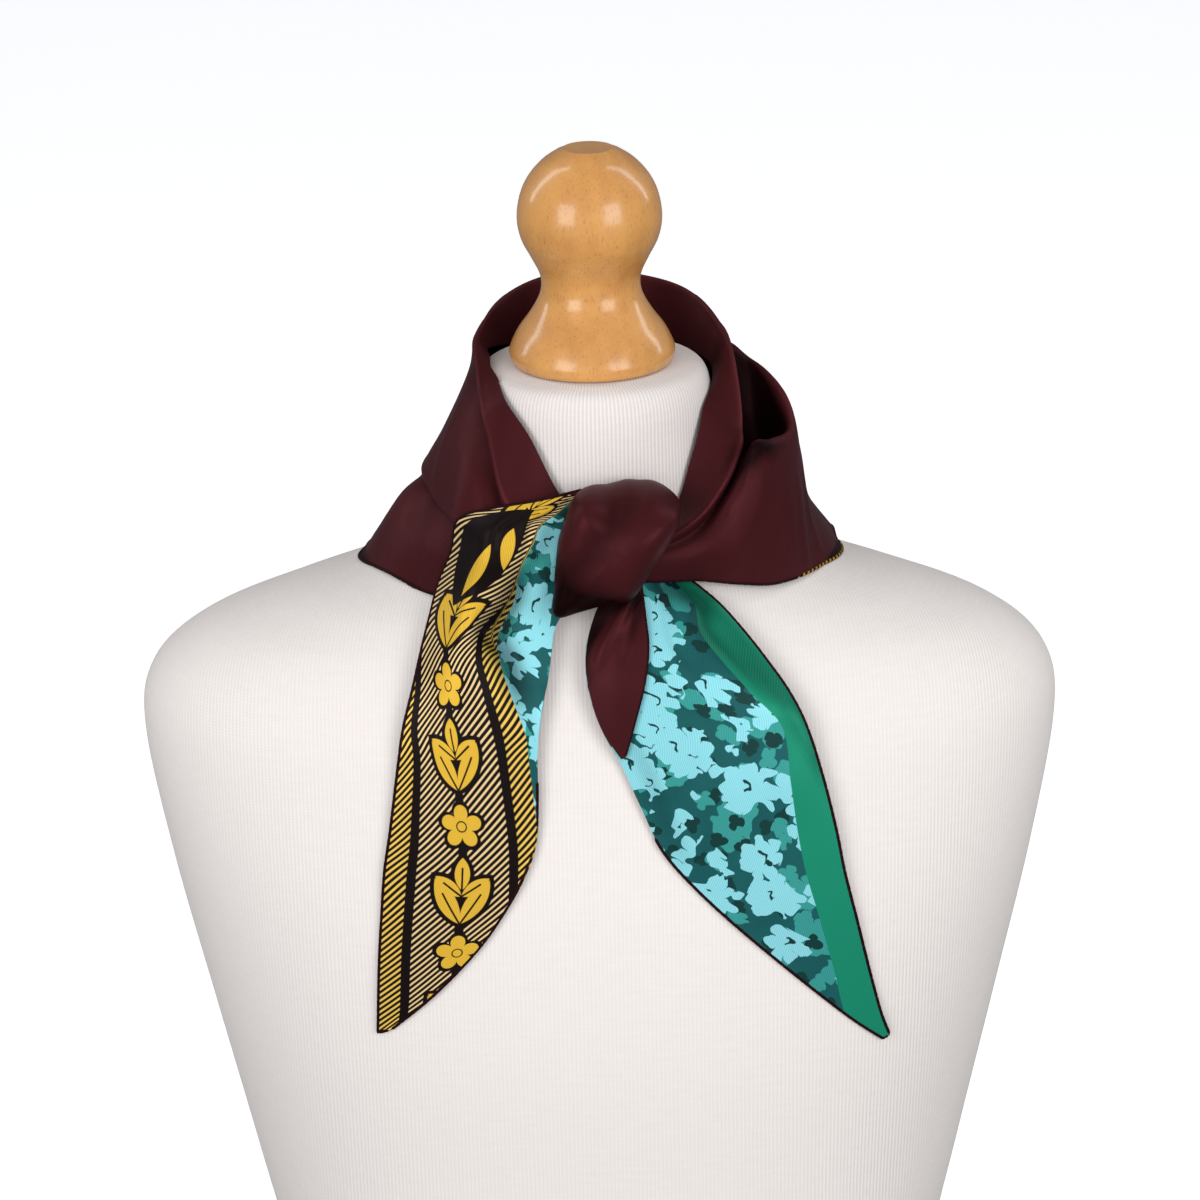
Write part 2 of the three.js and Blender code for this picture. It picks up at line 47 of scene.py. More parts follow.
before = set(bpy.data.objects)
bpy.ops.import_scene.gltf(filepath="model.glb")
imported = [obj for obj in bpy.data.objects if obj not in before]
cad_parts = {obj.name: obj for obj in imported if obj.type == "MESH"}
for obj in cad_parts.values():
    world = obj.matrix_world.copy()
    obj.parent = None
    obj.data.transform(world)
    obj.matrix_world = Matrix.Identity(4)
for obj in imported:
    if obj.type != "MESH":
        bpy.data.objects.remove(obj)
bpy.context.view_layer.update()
MM = 0.001  # the tables are in millimetres, and the scene in metres
NECK_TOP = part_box("dress_form")[1][2] / MM
CAP_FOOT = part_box("neck_cap")[0][2] / MM
ROOT = "root"
CLEAR = 0.9  # least distance in millimetres from the form to the middle of the cloth's thickness


# ------------------------------------------------------------------ tables


def by_name(columns, rows):
    """The rows of a table, each with its values under the names of the columns."""
    return [dict(zip(columns.split(), row)) for row in rows]


def table_of(rows, columns):
    """Some columns of a table as numbers."""
    return np.array([[row[name] for name in columns.split()] for row in rows], float)


# The form, from its base to the top of its neck: the height, the half width, the depths in front of
# and behind the neck's axis, and how square the outline is (2 is an ellipse).
FORM_COLUMNS = "z half front back square"
FORM_ROWS = by_name(FORM_COLUMNS, [
    (0, 158, 92, 90, 2.2),
    (10, 165, 98, 96, 2.2),
    (55, 167, 101, 101, 2.2),
    (115, 157, 95, 96, 2.2),
    (170, 149, 89, 85, 2.2),
    (225, 153, 90, 80, 2.2),
    (280, 164, 96, 84, 2.25),
    (360, 181, 106, 96, 2.3),
    (430, 196, 106, 104, 2.3),
    (490, 206, 96, 104, 2.2),
    (518, 202, 88, 98, 2.1),
    (537, 182, 80, 90, 2.0),
    (551, 148, 73, 82, 1.9),
    (564, 108, 66, 74, 1.9),
    (579, 77, 60, 66, 1.95),
    (599, 60, 56, 60, 2),
    (628, 53.5, 53, 54.5, 2),
    (646, 52, 51.5, 52, 2),
    (654.5, 48.5, 47.5, 48, 2),
    (NECK_TOP, 40, 40, 40, 2),
])
FORM_SIDES = 192
FORM_STEPS = 8  # rings for each row of the table
GATHER_HEIGHT = 640  # above this the jersey's ribs run together towards the cap

# The cap's outline above its foot, as radius and height. The last two rows are the crisp edge of the
# flat crown that is left where it was cut off the lathe.
CAP_COLUMNS = "r z"
CAP_ROWS = by_name(CAP_COLUMNS, [
    (33.2, 0),
    (35.2, 0.8),
    (36.2, 3.2),
    (36.4, 6.5),
    (33, 14),
    (27.3, 22),
    (23.3, 29),
    (21.8, 35),
    (22.6, 41),
    (26.2, 48.5),
    (30.2, 56.5),
    (31.8, 65.5),
    (30.3, 75.5),
    (26.6, 83.5),
    (20.6, 90.4),
    (14.6, 94.6),
])
CAP_CROWN = [(11.3, 96.1), (11, 96.3)]
CAP_SIDES = 128
CAP_STEPS = 6  # rings for each row of the table
CAP_SHARP = 14  # edges that turn by more degrees than this are crisp
CAP_RADIUS = 30  # the middling radius that its flat places are measured at

# The scarf round the neck: at each turn about the neck's axis (degrees from the front, negative to the
# left and on round the back), the radius and height of the edge at the neck, the roll line, the dip
# and the crest of the fall, the fold where the upper tier ends, the place under it, the lower tier
# and the hem.
COLLAR_PLACES = "neck roll dip crest fold under low hem"
COLLAR_ROWS = by_name("turn " + COLLAR_PLACES, [
    (0, (57.5, 602), (60, 599), (61.5, 595), (62.5, 590),
     (63, 585), (63.5, 580), (64.5, 575), (66, 570)),
    (-14, (58, 612), (62.5, 607), (65, 600), (66.5, 593),
     (67, 586), (67, 580), (67.5, 574), (68.5, 567)),
    (-30, (55.8, 638), (72.5, 611.5), (72, 602.5), (76.5, 596.5),
     (79, 590), (78, 583), (77, 574), (75, 567)),
    (-45, (53.6, 651), (64.5, 639.8), (61, 629.5), (74.5, 616.5),
     (82, 602), (79, 597.5), (82, 581), (82, 567)),
    (-60, (47.5, 656.5), (56.7, 651), (54.3, 642), (67.5, 626),
     (77, 603), (73.5, 600.5), (83.5, 583), (88, 566.5)),
    (-75, (46.3, 658.6), (52.2, 659.8), (52.8, 650), (65.5, 629),
     (75, 605), (72, 601.5), (86, 587), (95.5, 568.5)),
    (-92, (45.6, 659.8), (51.9, 665), (54.5, 651.5), (67, 625.5),
     (76.5, 608), (73.5, 604.5), (87, 594.5), (104.5, 565.5)),
    (-115, (51, 657), (53.5, 668.5), (58, 650), (65, 630),
     (76, 609), (80, 599), (91, 582), (107.5, 560)),
    (-140, (56, 652), (60, 674), (65, 655), (72, 633),
     (84, 607), (91, 588), (103, 563), (118, 528)),
    (-162, (59, 648), (65.5, 677.5), (72, 658), (79, 635),
     (88, 606), (93.5, 583), (100, 552), (110, 506)),
    (-180, (60, 647), (66, 678), (72, 659), (78, 636),
     (86, 607), (91, 583), (97, 550), (108, 494)),
    (-198, (59, 648), (65.5, 677.5), (73, 658), (81, 635),
     (90, 606), (94.5, 583), (100, 552), (110, 506)),
    (-220, (57, 650), (64.5, 674.5), (69, 658), (76, 637),
     (88, 610), (95, 589), (105, 562), (118, 528)),
    (-245, (54.6, 650.5), (60.5, 667.5), (63, 657), (69, 652.5),
     (77.5, 635), (87, 606), (99, 583), (116, 560)),
    (-256, (53.9, 650.5), (60.3, 664.8), (62.5, 652), (70, 649),
     (77.5, 646), (87, 620), (95.5, 590), (112, 562)),
    (-268, (53.1, 650), (61, 660.5), (59.5, 640), (71.5, 624),
     (83.8, 640), (90.5, 617), (95.5, 589), (108, 564)),
    (-281, (53, 647.5), (63.8, 652), (61, 631), (73.5, 609),
     (88, 629.5), (92.5, 607.5), (95.5, 588), (102, 566)),
    (-295, (53.6, 643), (70.5, 636), (67, 619), (76.5, 614),
     (85, 630.5), (91.5, 611), (94.5, 587), (94.5, 567)),
    (-303, (55.2, 634.5), (75, 631), (75, 624.5), (79, 627),
     (82.5, 630), (88.5, 612), (90, 587), (89.5, 568)),
    (-312, (56.4, 622), (76, 618), (74.5, 610), (80, 612),
     (84, 606), (86.3, 592), (84.5, 580), (81.5, 571)),
    (-324, (58.5, 603), (74.3, 604), (73.6, 598), (76.6, 594),
     (78.3, 589.5), (78, 585), (76.5, 580), (74.5, 575)),
    (-340, (61, 596), (70, 594.5), (70.8, 591), (72, 588.3),
     (72.5, 585.5), (72.6, 582.5), (72.3, 580), (71.8, 577.5)),
    (-352, (62, 594), (67, 592.5), (69, 590.5), (70, 588),
     (70.3, 585.5), (70.3, 583), (70, 581), (69.7, 579)),
])
COLLAR_ALONG, COLLAR_ACROSS = 320, 84
HEM_STRIPED = (0.66, 0.765)  # share of the collar's length where the hem's stripes show

# The tails: at each stage from the knot to the tip, the places across the cloth as x, y and z, and
# print: how far each place lies from the printed hem, measured on the flat cloth; tuck is how much of
# the cloth is folded out of sight just past the border.
TAIL_LEFT_PLACES = "hem ridge border inner"
TAIL_LEFT_ROWS = by_name(TAIL_LEFT_PLACES + " print tuck", [
    ((-5, -67, 620), (-6.5, -68, 618.5), (-8, -67, 616.5), (-3, -65, 611), (42, 48, 54, 80), 17),
    ((-24, -66, 615), (-21.5, -69, 612.5), (-17.5, -69.5, 609.5), (-3.5, -69, 602), (30, 42, 54, 88), 17),
    ((-45.5, -63, 610.5), (-36, -69.5, 608.5), (-24.5, -70.5, 605), (-4, -71.5, 594), (20, 34, 54, 95), 17),
    ((-59.5, -58.5, 604.5), (-45, -72, 603.5), (-27.5, -72.5, 598.5), (-5, -73, 584), (15, 34, 54, 98), 17),
    ((-63, -56, 589.5), (-48.5, -73, 591.5), (-33, -75, 588), (-9, -73, 574.5), (14, 35, 54, 98), 17),
    ((-69, -54.5, 574.5), (-54, -71, 577), (-39, -73, 572), (-18, -76.5, 561.5), (14, 36, 56, 97), 11),
    ((-73, -61, 561.5), (-59, -76, 563.5), (-46.5, -74, 557.5), (-20, -81, 552.5), (18, 41, 63, 97), 4),
    ((-77, -72, 549), (-60, -83.5, 551), (-42.5, -80, 547.5), (-22, -86.5, 540.5), (13, 46, 71, 92)),
    ((-81, -80.5, 534.5), (-59.5, -89.5, 536.5), (-38, -87, 533.5), (-24, -90.5, 532.5), (8, 44, 71, 84)),
    ((-85.5, -86, 518), (-59.5, -93.5, 519.5), (-33, -94, 518), (-26.5, -94.5, 518), (5, 42, 70, 78)),
    ((-88, -89.5, 503), (-59.5, -96.5, 504.5), (-31.5, -97.5, 505), (-27.5, -98, 504), (1, 39, 70, 75)),
    ((-92.5, -94, 473), (-62, -101, 473.5), (-32, -102.5, 472.5), (-29, -102, 473), (0, 34, 66, 70)),
    ((-95.5, -96, 455), (-64.5, -103, 454), (-37.5, -105, 454.5), (-35, -105, 455), (0, 32, 60, 63)),
    ((-97.3, -97.2, 436), (-69.5, -103.5, 437), (-46.5, -106, 438), (-44, -106, 438.5),
     (0, 28.5, 51.7, 54.2)),
    ((-99, -97.7, 416.5), (-77, -103, 417.5), (-59, -106, 420), (-56.5, -106, 420.5),
     (0, 22.7, 41.1, 43.6)),
    ((-100.2, -97.2, 396.5), (-88, -100.5, 397), (-78, -103, 398.5), (-75.5, -103.5, 399),
     (0, 12.6, 23.1, 25.7)),
    ((-101.2, -95.5, 377.5), (-99.5, -96, 378), (-97.5, -97, 379), (-95.5, -97.5, 379.5),
     (0, 1.8, 4.3, 6.4)),
])
LEFT_EDGE_SHARE = 0.64  # share of the left tail's length below which its inner edge is a hem

TAIL_RIGHT_PLACES = "fold middle border hem"
TAIL_RIGHT_ROWS = by_name(TAIL_RIGHT_PLACES + " print", [
    ((3.5, -70.5, 575.5), (20.5, -69, 577), (33, -61.5, 576), (40.5, -57, 574), (60, 36, 17.5, 0)),
    ((-2.5, -75.5, 562), (22.5, -75.5, 565.5), (42, -67, 566.5), (51.5, -62, 565), (66, 39, 17.5, 0)),
    ((-5.5, -82, 550.5), (22.5, -83.5, 554.5), (44.5, -76.5, 556.5), (62, -69.5, 555), (70, 42, 17.5, 0)),
    ((-5, -87.5, 537), (26.5, -89.5, 542.5), (54, -83.5, 545), (72.5, -77, 543), (78, 46, 17.5, 0)),
    ((0, -92, 520), (34.5, -94, 527), (66, -88.5, 532), (82.5, -83, 529.5), (85, 50, 17.5, 0)),
    ((9, -96, 503), (43, -98, 510), (79, -91, 517), (90, -88.5, 514.5), (89, 54, 17.5, 0)),
    ((16.5, -99.5, 486), (49, -101, 490), (82, -96.5, 494.5), (96.5, -92, 493.5), (84, 51, 17.5, 0)),
    ((26, -102.5, 465.5), (57.5, -102.5, 467), (85, -98.5, 471), (102, -94.7, 470), (77, 46, 17.5, 0)),
    ((40.5, -104.3, 447.5), (67, -103.5, 447.5), (88.5, -99.5, 452), (105.7, -95.7, 450),
     (66, 40, 17.5, 0)),
    ((60, -104.7, 427.5), (79, -103, 428.5), (94, -99.3, 431), (111, -95, 427), (52, 33, 17.5, 0)),
    ((85.5, -100.7, 402), (94, -99, 404), (100.5, -97.2, 405.5), (116.5, -92, 402), (33, 24, 17.3, 0)),
    ((108, -93.2, 379), (111, -92.5, 380.5), (114, -91.5, 382), (122, -88.5, 379), (15.5, 12, 8.6, 0)),
    ((123, -86.5, 365), (124, -86, 365.3), (125, -85.7, 365.7), (126.3, -85.3, 366), (3.6, 2.5, 1.4, 0)),
])
TURNED_SHARE = 0.56  # share of the right tail's length down to which its edge is turned over

TURNOVER_PLACES = "fold middle hem"
TURNOVER_ROWS = by_name(TURNOVER_PLACES + " print", [
    ((4, -73, 577.5), (11.5, -74, 578.5), (19, -73.5, 579.5), (0, 7.6, 15)),
    ((-2.3, -77.3, 563), (9.5, -79.5, 564.5), (20.5, -79, 565.5), (0, 12, 23)),
    ((-5.3, -83.8, 551.5), (8.5, -87, 552.5), (21.5, -86.5, 553.5), (0, 14, 27)),
    ((-4.7, -89.3, 537.5), (7.5, -92.5, 538.5), (19.5, -92.5, 539.5), (0, 13, 25)),
    ((0.3, -94, 520.5), (7.5, -95.8, 522), (15, -95.8, 523), (0, 7.5, 15)),
    ((8.8, -97.8, 507), (9.7, -98, 507.2), (10.5, -98, 507.5), (0, 0.9, 1.8)),
])
TAIL_ALONG, TAIL_ACROSS = 260, 72
TUCK_START = 2 * TAIL_ACROSS // 3 + 1  # the first point past the left tail's border
TUCKED_FADE = np.linspace(1, 0, TAIL_ACROSS + 1 - TUCK_START)

# The knot's outline, clockwise as seen from the front; lip is the depth of the edge turned in behind it.
KNOT_COLUMNS = "x y z lip"
KNOT_ROWS = by_name(KNOT_COLUMNS, [
    (-6.5, -76, 621, -69.3),
    (-1.5, -73.5, 622, -66),
    (4.5, -71.5, 621.2, -63),
    (10, -70, 621.7, -61),
    (14, -69.5, 622.3, -60),
    (19.5, -69.5, 621.9, -60),
    (25.5, -69.5, 621.5, -60),
    (31.5, -69.5, 618.5, -60.5),
    (35.5, -70.5, 614.5, -62.5),
    (35, -72, 608.5, -65.5),
    (31.5, -74.5, 602, -68.5),
    (27.5, -77.5, 596, -71),
    (23, -80.5, 589.5, -73),
    (19.5, -82.5, 584, -75),
    (14.5, -84.5, 577.5, -77),
    (7.5, -85, 575, -77.5),
    (0, -85, 573.5, -77.5),
    (-8.5, -84.5, 571, -78.5),
    (-18.5, -83, 569, -78.5),
    (-18, -81.5, 579.5, -76.5),
    (-17, -80, 590.5, -73.7),
    (-15.5, -79, 601.5, -72.7),
    (-12.5, -78, 610.5, -71.7),
    (-9.5, -77, 617.5, -70.7),
])
KNOT_MIDDLE = (8, -99, 600)
KNOT_SQUARE = 2.5  # fullness of its bulge (2 is an ellipse, more is flatter in the middle)
# The rings behind its edge: the share of the outline, the rise to the middle and the share of the lip.
KNOT_TURNED = [(0.95, 0, 1), (0.985, 0, 0.5)]
KNOT_EDGE = len(KNOT_TURNED)  # the ring that is its edge
KNOT_FADE = 9  # rings from the edge over which its creases deepen
KNOT_SIDES = 120
KNOT_RINGS = 30
KNOT_HEM = (0.20, 0.62)  # share of its outline where the rolled hem shows
KNOT_DEPTH = 40  # how far behind its middle the point lies that its creases are pressed in towards
KNOT_SHADE = 0.55  # how much of its creases' depth counts towards its painted shade

# Creases and shades: the places that each runs over (shares of the piece's length and width, or for the
# knot x and z from its middle), its width and its depth. A crease moves the cloth, in for a negative
# depth; a shade moves nothing and is painted shade: it darkens the silk's colour as a fold so deep would.
CREASE = "over width depth"
ROUTE_POINTS = 25  # points on the line of each
FOLD_REACH = 9.0  # how far the cloth is smoothed to tell which of its places are hollow

COLLAR_CREASES = by_name(CREASE, [
    # the roll line, sharpened on each side
    ([(0.09, 0.143), (0.15, 0.143), (0.22, 0.143), (0.32, 0.143)], 1.3, 0.8),
    ([(0.56, 0.143), (0.68, 0.143), (0.78, 0.143), (0.92, 0.143)], 1.3, 0.8),
    # the left pleat, whose fold lies over the lower tier
    ([(0.13, 0.571), (0.18, 0.571), (0.23, 0.571), (0.30, 0.571)], 1.5, 0.8),
    ([(0.14, 0.70), (0.18, 0.69), (0.23, 0.69), (0.28, 0.70)], 3.0, -1.4),
    # soft folds of the fall
    ([(0.16, 0.30), (0.14, 0.45), (0.12, 0.56)], 6, -1.0),
    ([(0.25, 0.34), (0.23, 0.46), (0.22, 0.54)], 5, 0.8),
    ([(0.23, 0.80), (0.21, 0.88), (0.19, 0.98)], 8, -1.4),
    ([(0.33, 0.66), (0.31, 0.80), (0.30, 0.98)], 8, 1.2),
    ([(0.742, 0.70), (0.747, 0.82), (0.75, 0.97)], 3.0, 0.9),
    ([(0.715, 0.72), (0.72, 0.84), (0.722, 0.97)], 2.5, 0.7),
    ([(0.80, 0.70), (0.80, 0.82), (0.795, 0.95)], 7, -0.9),
    ([(0.87, 0.45), (0.85, 0.70), (0.83, 0.95)], 9, -1.0),
    # the back, with the fall's own drag lines towards its point
    ([(0.39, 0.40), (0.42, 0.65), (0.46, 0.95)], 7, 1.5),
    ([(0.60, 0.38), (0.565, 0.62), (0.52, 0.95)], 8, 1.3),
    ([(0.455, 0.30), (0.475, 0.50), (0.485, 0.72)], 10, -1.4),
])

COLLAR_SHADES = by_name(CREASE, [
    # painted shade in the hollow on the right, between the roll line and the fold's standing lip
    ([(0.64, 0.21), (0.69, 0.25), (0.74, 0.27), (0.80, 0.24)], 9, 3.5),
    ([(0.60, 0.36), (0.63, 0.42), (0.66, 0.46), (0.70, 0.47)], 9, 3.6),
    ([(0.68, 0.44), (0.72, 0.46), (0.76, 0.48), (0.80, 0.48)], 8, 3.2),
    ([(0.75, 0.59), (0.78, 0.60), (0.81, 0.60), (0.84, 0.56)], 6.5, 3.2),
    ([(0.70, 0.55), (0.75, 0.56), (0.80, 0.55)], 5, 2.6),
    ([(0.64, 0.47), (0.67, 0.50), (0.70, 0.52), (0.73, 0.54)], 5, 3.2),
    ([(0.85, 0.36), (0.83, 0.43), (0.815, 0.50), (0.80, 0.56)], 5, 3.2),
    # painted shade under the roll line, under the left pleat and towards the right hem
    ([(0.10, 0.19), (0.15, 0.20), (0.21, 0.20), (0.28, 0.19)], 3.5, 2.2),
    ([(0.82, 0.21), (0.88, 0.24), (0.97, 0.30)], 4.5, 1.6),
    ([(0.15, 0.62), (0.20, 0.63), (0.25, 0.64)], 4, 1.8),
    ([(0.68, 0.80), (0.74, 0.82), (0.80, 0.88)], 12, 0.9),
])

TAIL_LEFT_CREASES = by_name(CREASE, [
    # pleats that run out of the knot
    ([(0.00, 0.30), (0.10, 0.32), (0.22, 0.40)], 1.6, -1.2),
    ([(0.00, 0.62), (0.12, 0.60), (0.24, 0.66)], 1.8, -1.3),
    ([(0.00, 0.85), (0.14, 0.84), (0.28, 0.86)], 2.0, -1.0),
    # the fold beside the border, and the soft swing of the hanging end
    ([(0.20, 0.30), (0.30, 0.33), (0.44, 0.42)], 4.0, 1.2),
    ([(0.24, 0.68), (0.36, 0.70), (0.50, 0.74)], 5.5, -2.4),
    ([(0.55, 0.55), (0.68, 0.50), (0.82, 0.45)], 9.0, 1.0),
    ([(0.48, 0.14), (0.62, 0.16), (0.78, 0.18)], 6.0, -0.7),
])

TAIL_LEFT_SHADES = by_name(CREASE, [
    # painted shade under the fold beside the border, and near the inner edge by the knot
    ([(0.02, 0.73), (0.20, 0.72), (0.34, 0.71), (0.50, 0.73)], 4.5, 2.0),
    ([(0.04, 0.95), (0.20, 0.96), (0.30, 0.97)], 5, 1.2),
])

TAIL_RIGHT_CREASES = by_name(CREASE, [
    ([(0.00, 0.45), (0.12, 0.46), (0.26, 0.50)], 3.0, -1.3),
    ([(0.02, 0.70), (0.16, 0.74), (0.36, 0.78)], 4.5, -2.0),
    ([(0.05, 0.92), (0.22, 0.93), (0.45, 0.92)], 5.0, 1.2),
    ([(0.40, 0.30), (0.55, 0.38), (0.72, 0.45)], 9.0, 0.8),
])

TAIL_RIGHT_SHADES = by_name(CREASE, [
    # painted shade on the green band's upper part, beside the teal's fold, along the left edge and below the
    # knot
    ([(0.05, 0.90), (0.22, 0.92), (0.36, 0.93), (0.50, 0.95)], 6, 2.4),
    ([(0.00, 0.55), (0.14, 0.66), (0.34, 0.72)], 7, 1.6),
    ([(0.30, 0.10), (0.44, 0.12), (0.60, 0.10)], 5, 1.2),
    ([(0.00, 0.30), (0.03, 0.50), (0.08, 0.75)], 7, 2.2),
])

TURNOVER_CREASES = by_name(CREASE, [
    ([(0.04, 0.85), (0.14, 0.62), (0.28, 0.38), (0.48, 0.22)], 2.6, 1.6),
    ([(0.02, 0.75), (0.20, 0.70), (0.45, 0.60)], 2.6, -1.0),
])

TURNOVER_SHADES = by_name(CREASE, [
    # painted shade where the strip comes out from under the knot, and left of its ridge
    ([(0.02, -0.20), (0.08, 0.50), (0.12, 1.20)], 8, 5.0),
    ([(0.06, 0.20), (0.20, 0.12), (0.38, 0.00), (0.60, -0.05)], 5, 4.5),
])

KNOT_CREASES = by_name(CREASE, [
    ([(10, 26), (-2, 13), (-13, -2), (-27, -16)], 8.0, -2.6),
    ([(26, 16), (17, 6), (8, -6), (2, -22)], 9.0, 2.0),
    ([(-10, 22), (-17, 10), (-23, -6)], 5.0, 1.3),
    ([(-30, -18), (-16, -24), (2, -28)], 11.0, -3.0),
])

KNOT_SHADES = by_name(CREASE, [
    # painted shade on its underside and its left edge
    ([(-44, -30), (-30, -27), (-14, -27), (2, -26), (16, -22)], 9.0, 3.6),
    ([(-40, -20), (-29, -14), (-27, -2)], 5.0, 1.6),
])

# The hand-rolled hems: soft rolls of the cloth's edge, pinched a little at each slip stitch.
HEM_SIDES = 10
HEM_STEP = 0.8  # distance between its rings
HEM_SIDEWAYS = (0.31, 0.87, 0.38)  # a direction that no hem runs in, which each ring's own are taken from
HEM_PINCH = 0.16  # how much a stitch narrows the roll
STITCH = 3.5  # distance between the slip stitches
KNOT_HEM_SIZE, TURNOVER_HEM_SIZE = 0.6, 0.7  # share of the hem's radius


# ------------------------------------------------------------------ settings


def srgb(red, green, blue):
    """A colour's linear values from its values on a screen, 0 to 255."""
    parts = [value / 255 for value in (red, green, blue)]
    return tuple(p / 12.92 if p <= 0.04045 else ((p + 0.055) / 1.055) ** 2.4 for p in parts)


def number(name, description, default, **options):
    """A property that holds a number."""
    return bpy.props.FloatProperty(name=name, description=description, default=default, **options)


def length(name, description, default):
    """A property that holds a size in metres."""
    return number(name, description, default, min=0, precision=5, subtype="DISTANCE", unit="LENGTH")


def colour(name, description, default):
    """A property that holds a linear colour."""
    return bpy.props.FloatVectorProperty(
        name=name, description=description, default=default, min=0, max=1, subtype="COLOR"
    )


class ScarfSettings(bpy.types.PropertyGroup):
    """Sizes and colours of the scarf's cloth and print."""

    thickness: length("Cloth", "Thickness of the twill", 0.0007)
    hem: length("Rolled hem", "Radius of the hand-rolled hem", 0.0008)
    twill: length("Twill pitch", "Distance between the twill's diagonal lines", 0.0009)
    stripe: length("Stripe pitch", "Distance between the printed diagonal stripes", 0.0024)
    band: length("Edge band", "Width of the bright striped band along the hem", 0.010)
    bar: length("Bar", "Width of the dark bars beside the leaf field", 0.0043)
    field: length("Leaf field", "Width of the striped field with the leaves", 0.042)
    green_band: length("Green band", "Width of the plain green band", 0.0175)
    maroon: colour("Maroon", "Plain side of the twill", srgb(63, 24, 27))
    ink: colour("Ink", "Dark ground of the stripes and outlines", srgb(23, 15, 16))
    ochre: colour("Ochre", "Leaves and flowers", srgb(222, 178, 58))
    straw: colour("Straw", "Stripes of the edge bands", srgb(234, 196, 92))
    beige: colour("Beige", "Stripes of the leaf field", srgb(232, 202, 146))
    teal: colour("Teal", "Ground of the blossom print", srgb(30, 96, 98))
    sea: colour("Sea green", "Leaves behind the blossoms", srgb(58, 152, 146))
    pine: colour("Pine", "Shadows of the blossom print", srgb(20, 60, 58))
    pale: colour("Pale aqua", "Blossoms", srgb(140, 214, 224))
    green: colour("Green", "Plain band along the right tail's hem", srgb(26, 138, 108))


class FormSettings(bpy.types.PropertyGroup):
    """Sizes and colours of the dress form and its cap."""

    rib: length("Rib pitch", "Distance between the jersey's ribs", 0.0018)
    jersey: colour("Jersey", "The cover's off-white jersey", srgb(228, 223, 219))
    # the jersey's darker colour: painted shade between its ribs and rows of stitches, and its random slubs
    furrow_shade_and_slub: colour("Furrow", "The jersey between its ribs", srgb(205, 196, 194))
    wood: colour("Wood", "The cap's varnished wood", srgb(205, 148, 80))
    fleck: colour("Fleck", "Short dark flecks in the wood", srgb(158, 96, 46))


class StageSettings(bpy.types.PropertyGroup):
    """The floor, the lights and the camera."""

    floor: length("Floor", "Half the floor's width", 30.0)
    floor_colour: colour("Floor colour", "Pale floor", srgb(250, 251, 253))
    softbox: number("Softboxes", "Power of each front softbox", 17, unit="POWER")
    strip: number("Strips", "Power of each rear strip", 8, unit="POWER")
    fill: number("Fill", "Strength of the broad light from the front", 1.9)
    sky: number("Tent", "Strength of the white tent's light", 0.2)
    glow: number("Floor glow", "How much the backlit floor glows", 0.57)


# ------------------------------------------------------------------ surfaces from tables


def blend(values, places):
    """Rows of numbers at fractional places, on the Catmull-Rom curve through them."""
    values = np.asarray(values, float)
    places = np.asarray(places, float)
    last = len(values) - 1
    k = np.clip(np.floor(places).astype(int), 0, last - 1)
    t = (places - k).reshape((-1,) + (1,) * (values.ndim - 1))
    a, b, c, d = (values[np.clip(k + step, 0, last)] for step in (-1, 0, 1, 2))
    return b + 0.5 * t * (c - a + t * (2 * a - 5 * b + 4 * c - d + t * (3 * (b - c) + d - a)))


def smooth(values, count):
    """So many rows of numbers, evenly placed on the curve through the given rows."""
    return blend(values, np.linspace(0, len(values) - 1, count))


def blend_grid(table, along, across):
    """A grid of points over a table of sections, with so many steps along and across."""
    return smooth(smooth(table, along + 1).transpose(1, 0, 2), across + 1).transpose(1, 0, 2)


FORM_TABLE = table_of(FORM_ROWS, FORM_COLUMNS)
FORM_LEVELS = smooth(FORM_TABLE, 2000)


def form_reach(points):
    """How far the form's surface lies from its axis, at each point's height and in its direction."""
    half, front, back, square = (
        np.interp(points[..., 2], FORM_LEVELS[:, 0], column) for column in FORM_LEVELS[:, 1:].T
    )
    distance = np.hypot(points[..., 0], points[..., 1])
    deep = np.where(points[..., 1] < 0, front, back)
    wide = np.abs(points[..., 0]) / distance / half
    return (wide**square + (np.abs(points[..., 1]) / distance / deep) ** square) ** (-1 / square)


def clear_of_form(points):
    """The points, moved away from the axis where they would come too near to the form."""
    step = np.array([0, 0, 1.0])
    below, here, above = (form_reach(points + k * step) for k in (-1, 0, 1))
    least = here + CLEAR * np.hypot(1, (below - above) / 2)
    distance = np.hypot(points[..., 0], points[..., 1])
    push = np.where((distance < least) & (points[..., 2] < NECK_TOP - 1), least / distance, 1)
    return points * np.stack([push, push, np.ones_like(push)], axis=-1)


def unit(vectors):
    """The vectors, each one long."""
    return vectors / np.maximum(np.linalg.norm(vectors, axis=-1, keepdims=True), 1e-9)


def grid_normals(grid):
    """Unit normals of a grid of points, on the side that along x across points to."""
    return unit(np.cross(np.gradient(grid, axis=0), np.gradient(grid, axis=1)))


def lengths_along(grid):
    """For each point of a grid, the distance travelled along its column."""
    steps = np.linalg.norm(np.diff(grid, axis=0), axis=-1)
    return np.concatenate([np.zeros((1, grid.shape[1])), np.cumsum(steps, axis=0)])


def lengths_across(grid):
    """For each point of a grid, the distance travelled along its row."""
    return lengths_along(grid.transpose(1, 0, 2)).T


def surface_place(grid, place):
    """The point of a grid at a share of its length and of its width."""
    row, column = place[0] * (grid.shape[0] - 1), place[1] * (grid.shape[1] - 1)
    i, j = int(min(row, grid.shape[0] - 2)), int(min(column, grid.shape[1] - 2))
    s, t = row - i, column - j
    upper = grid[i, j] * (1 - t) + grid[i, j + 1] * t
    lower = grid[i + 1, j] * (1 - t) + grid[i + 1, j + 1] * t
    return upper * (1 - s) + lower * s


def end_fades(margin, power):
    """How strong a crease is at each point of its line: less towards both of its ends."""
    return np.sin(np.linspace(margin, 1 - margin, ROUTE_POINTS) * math.pi) ** power


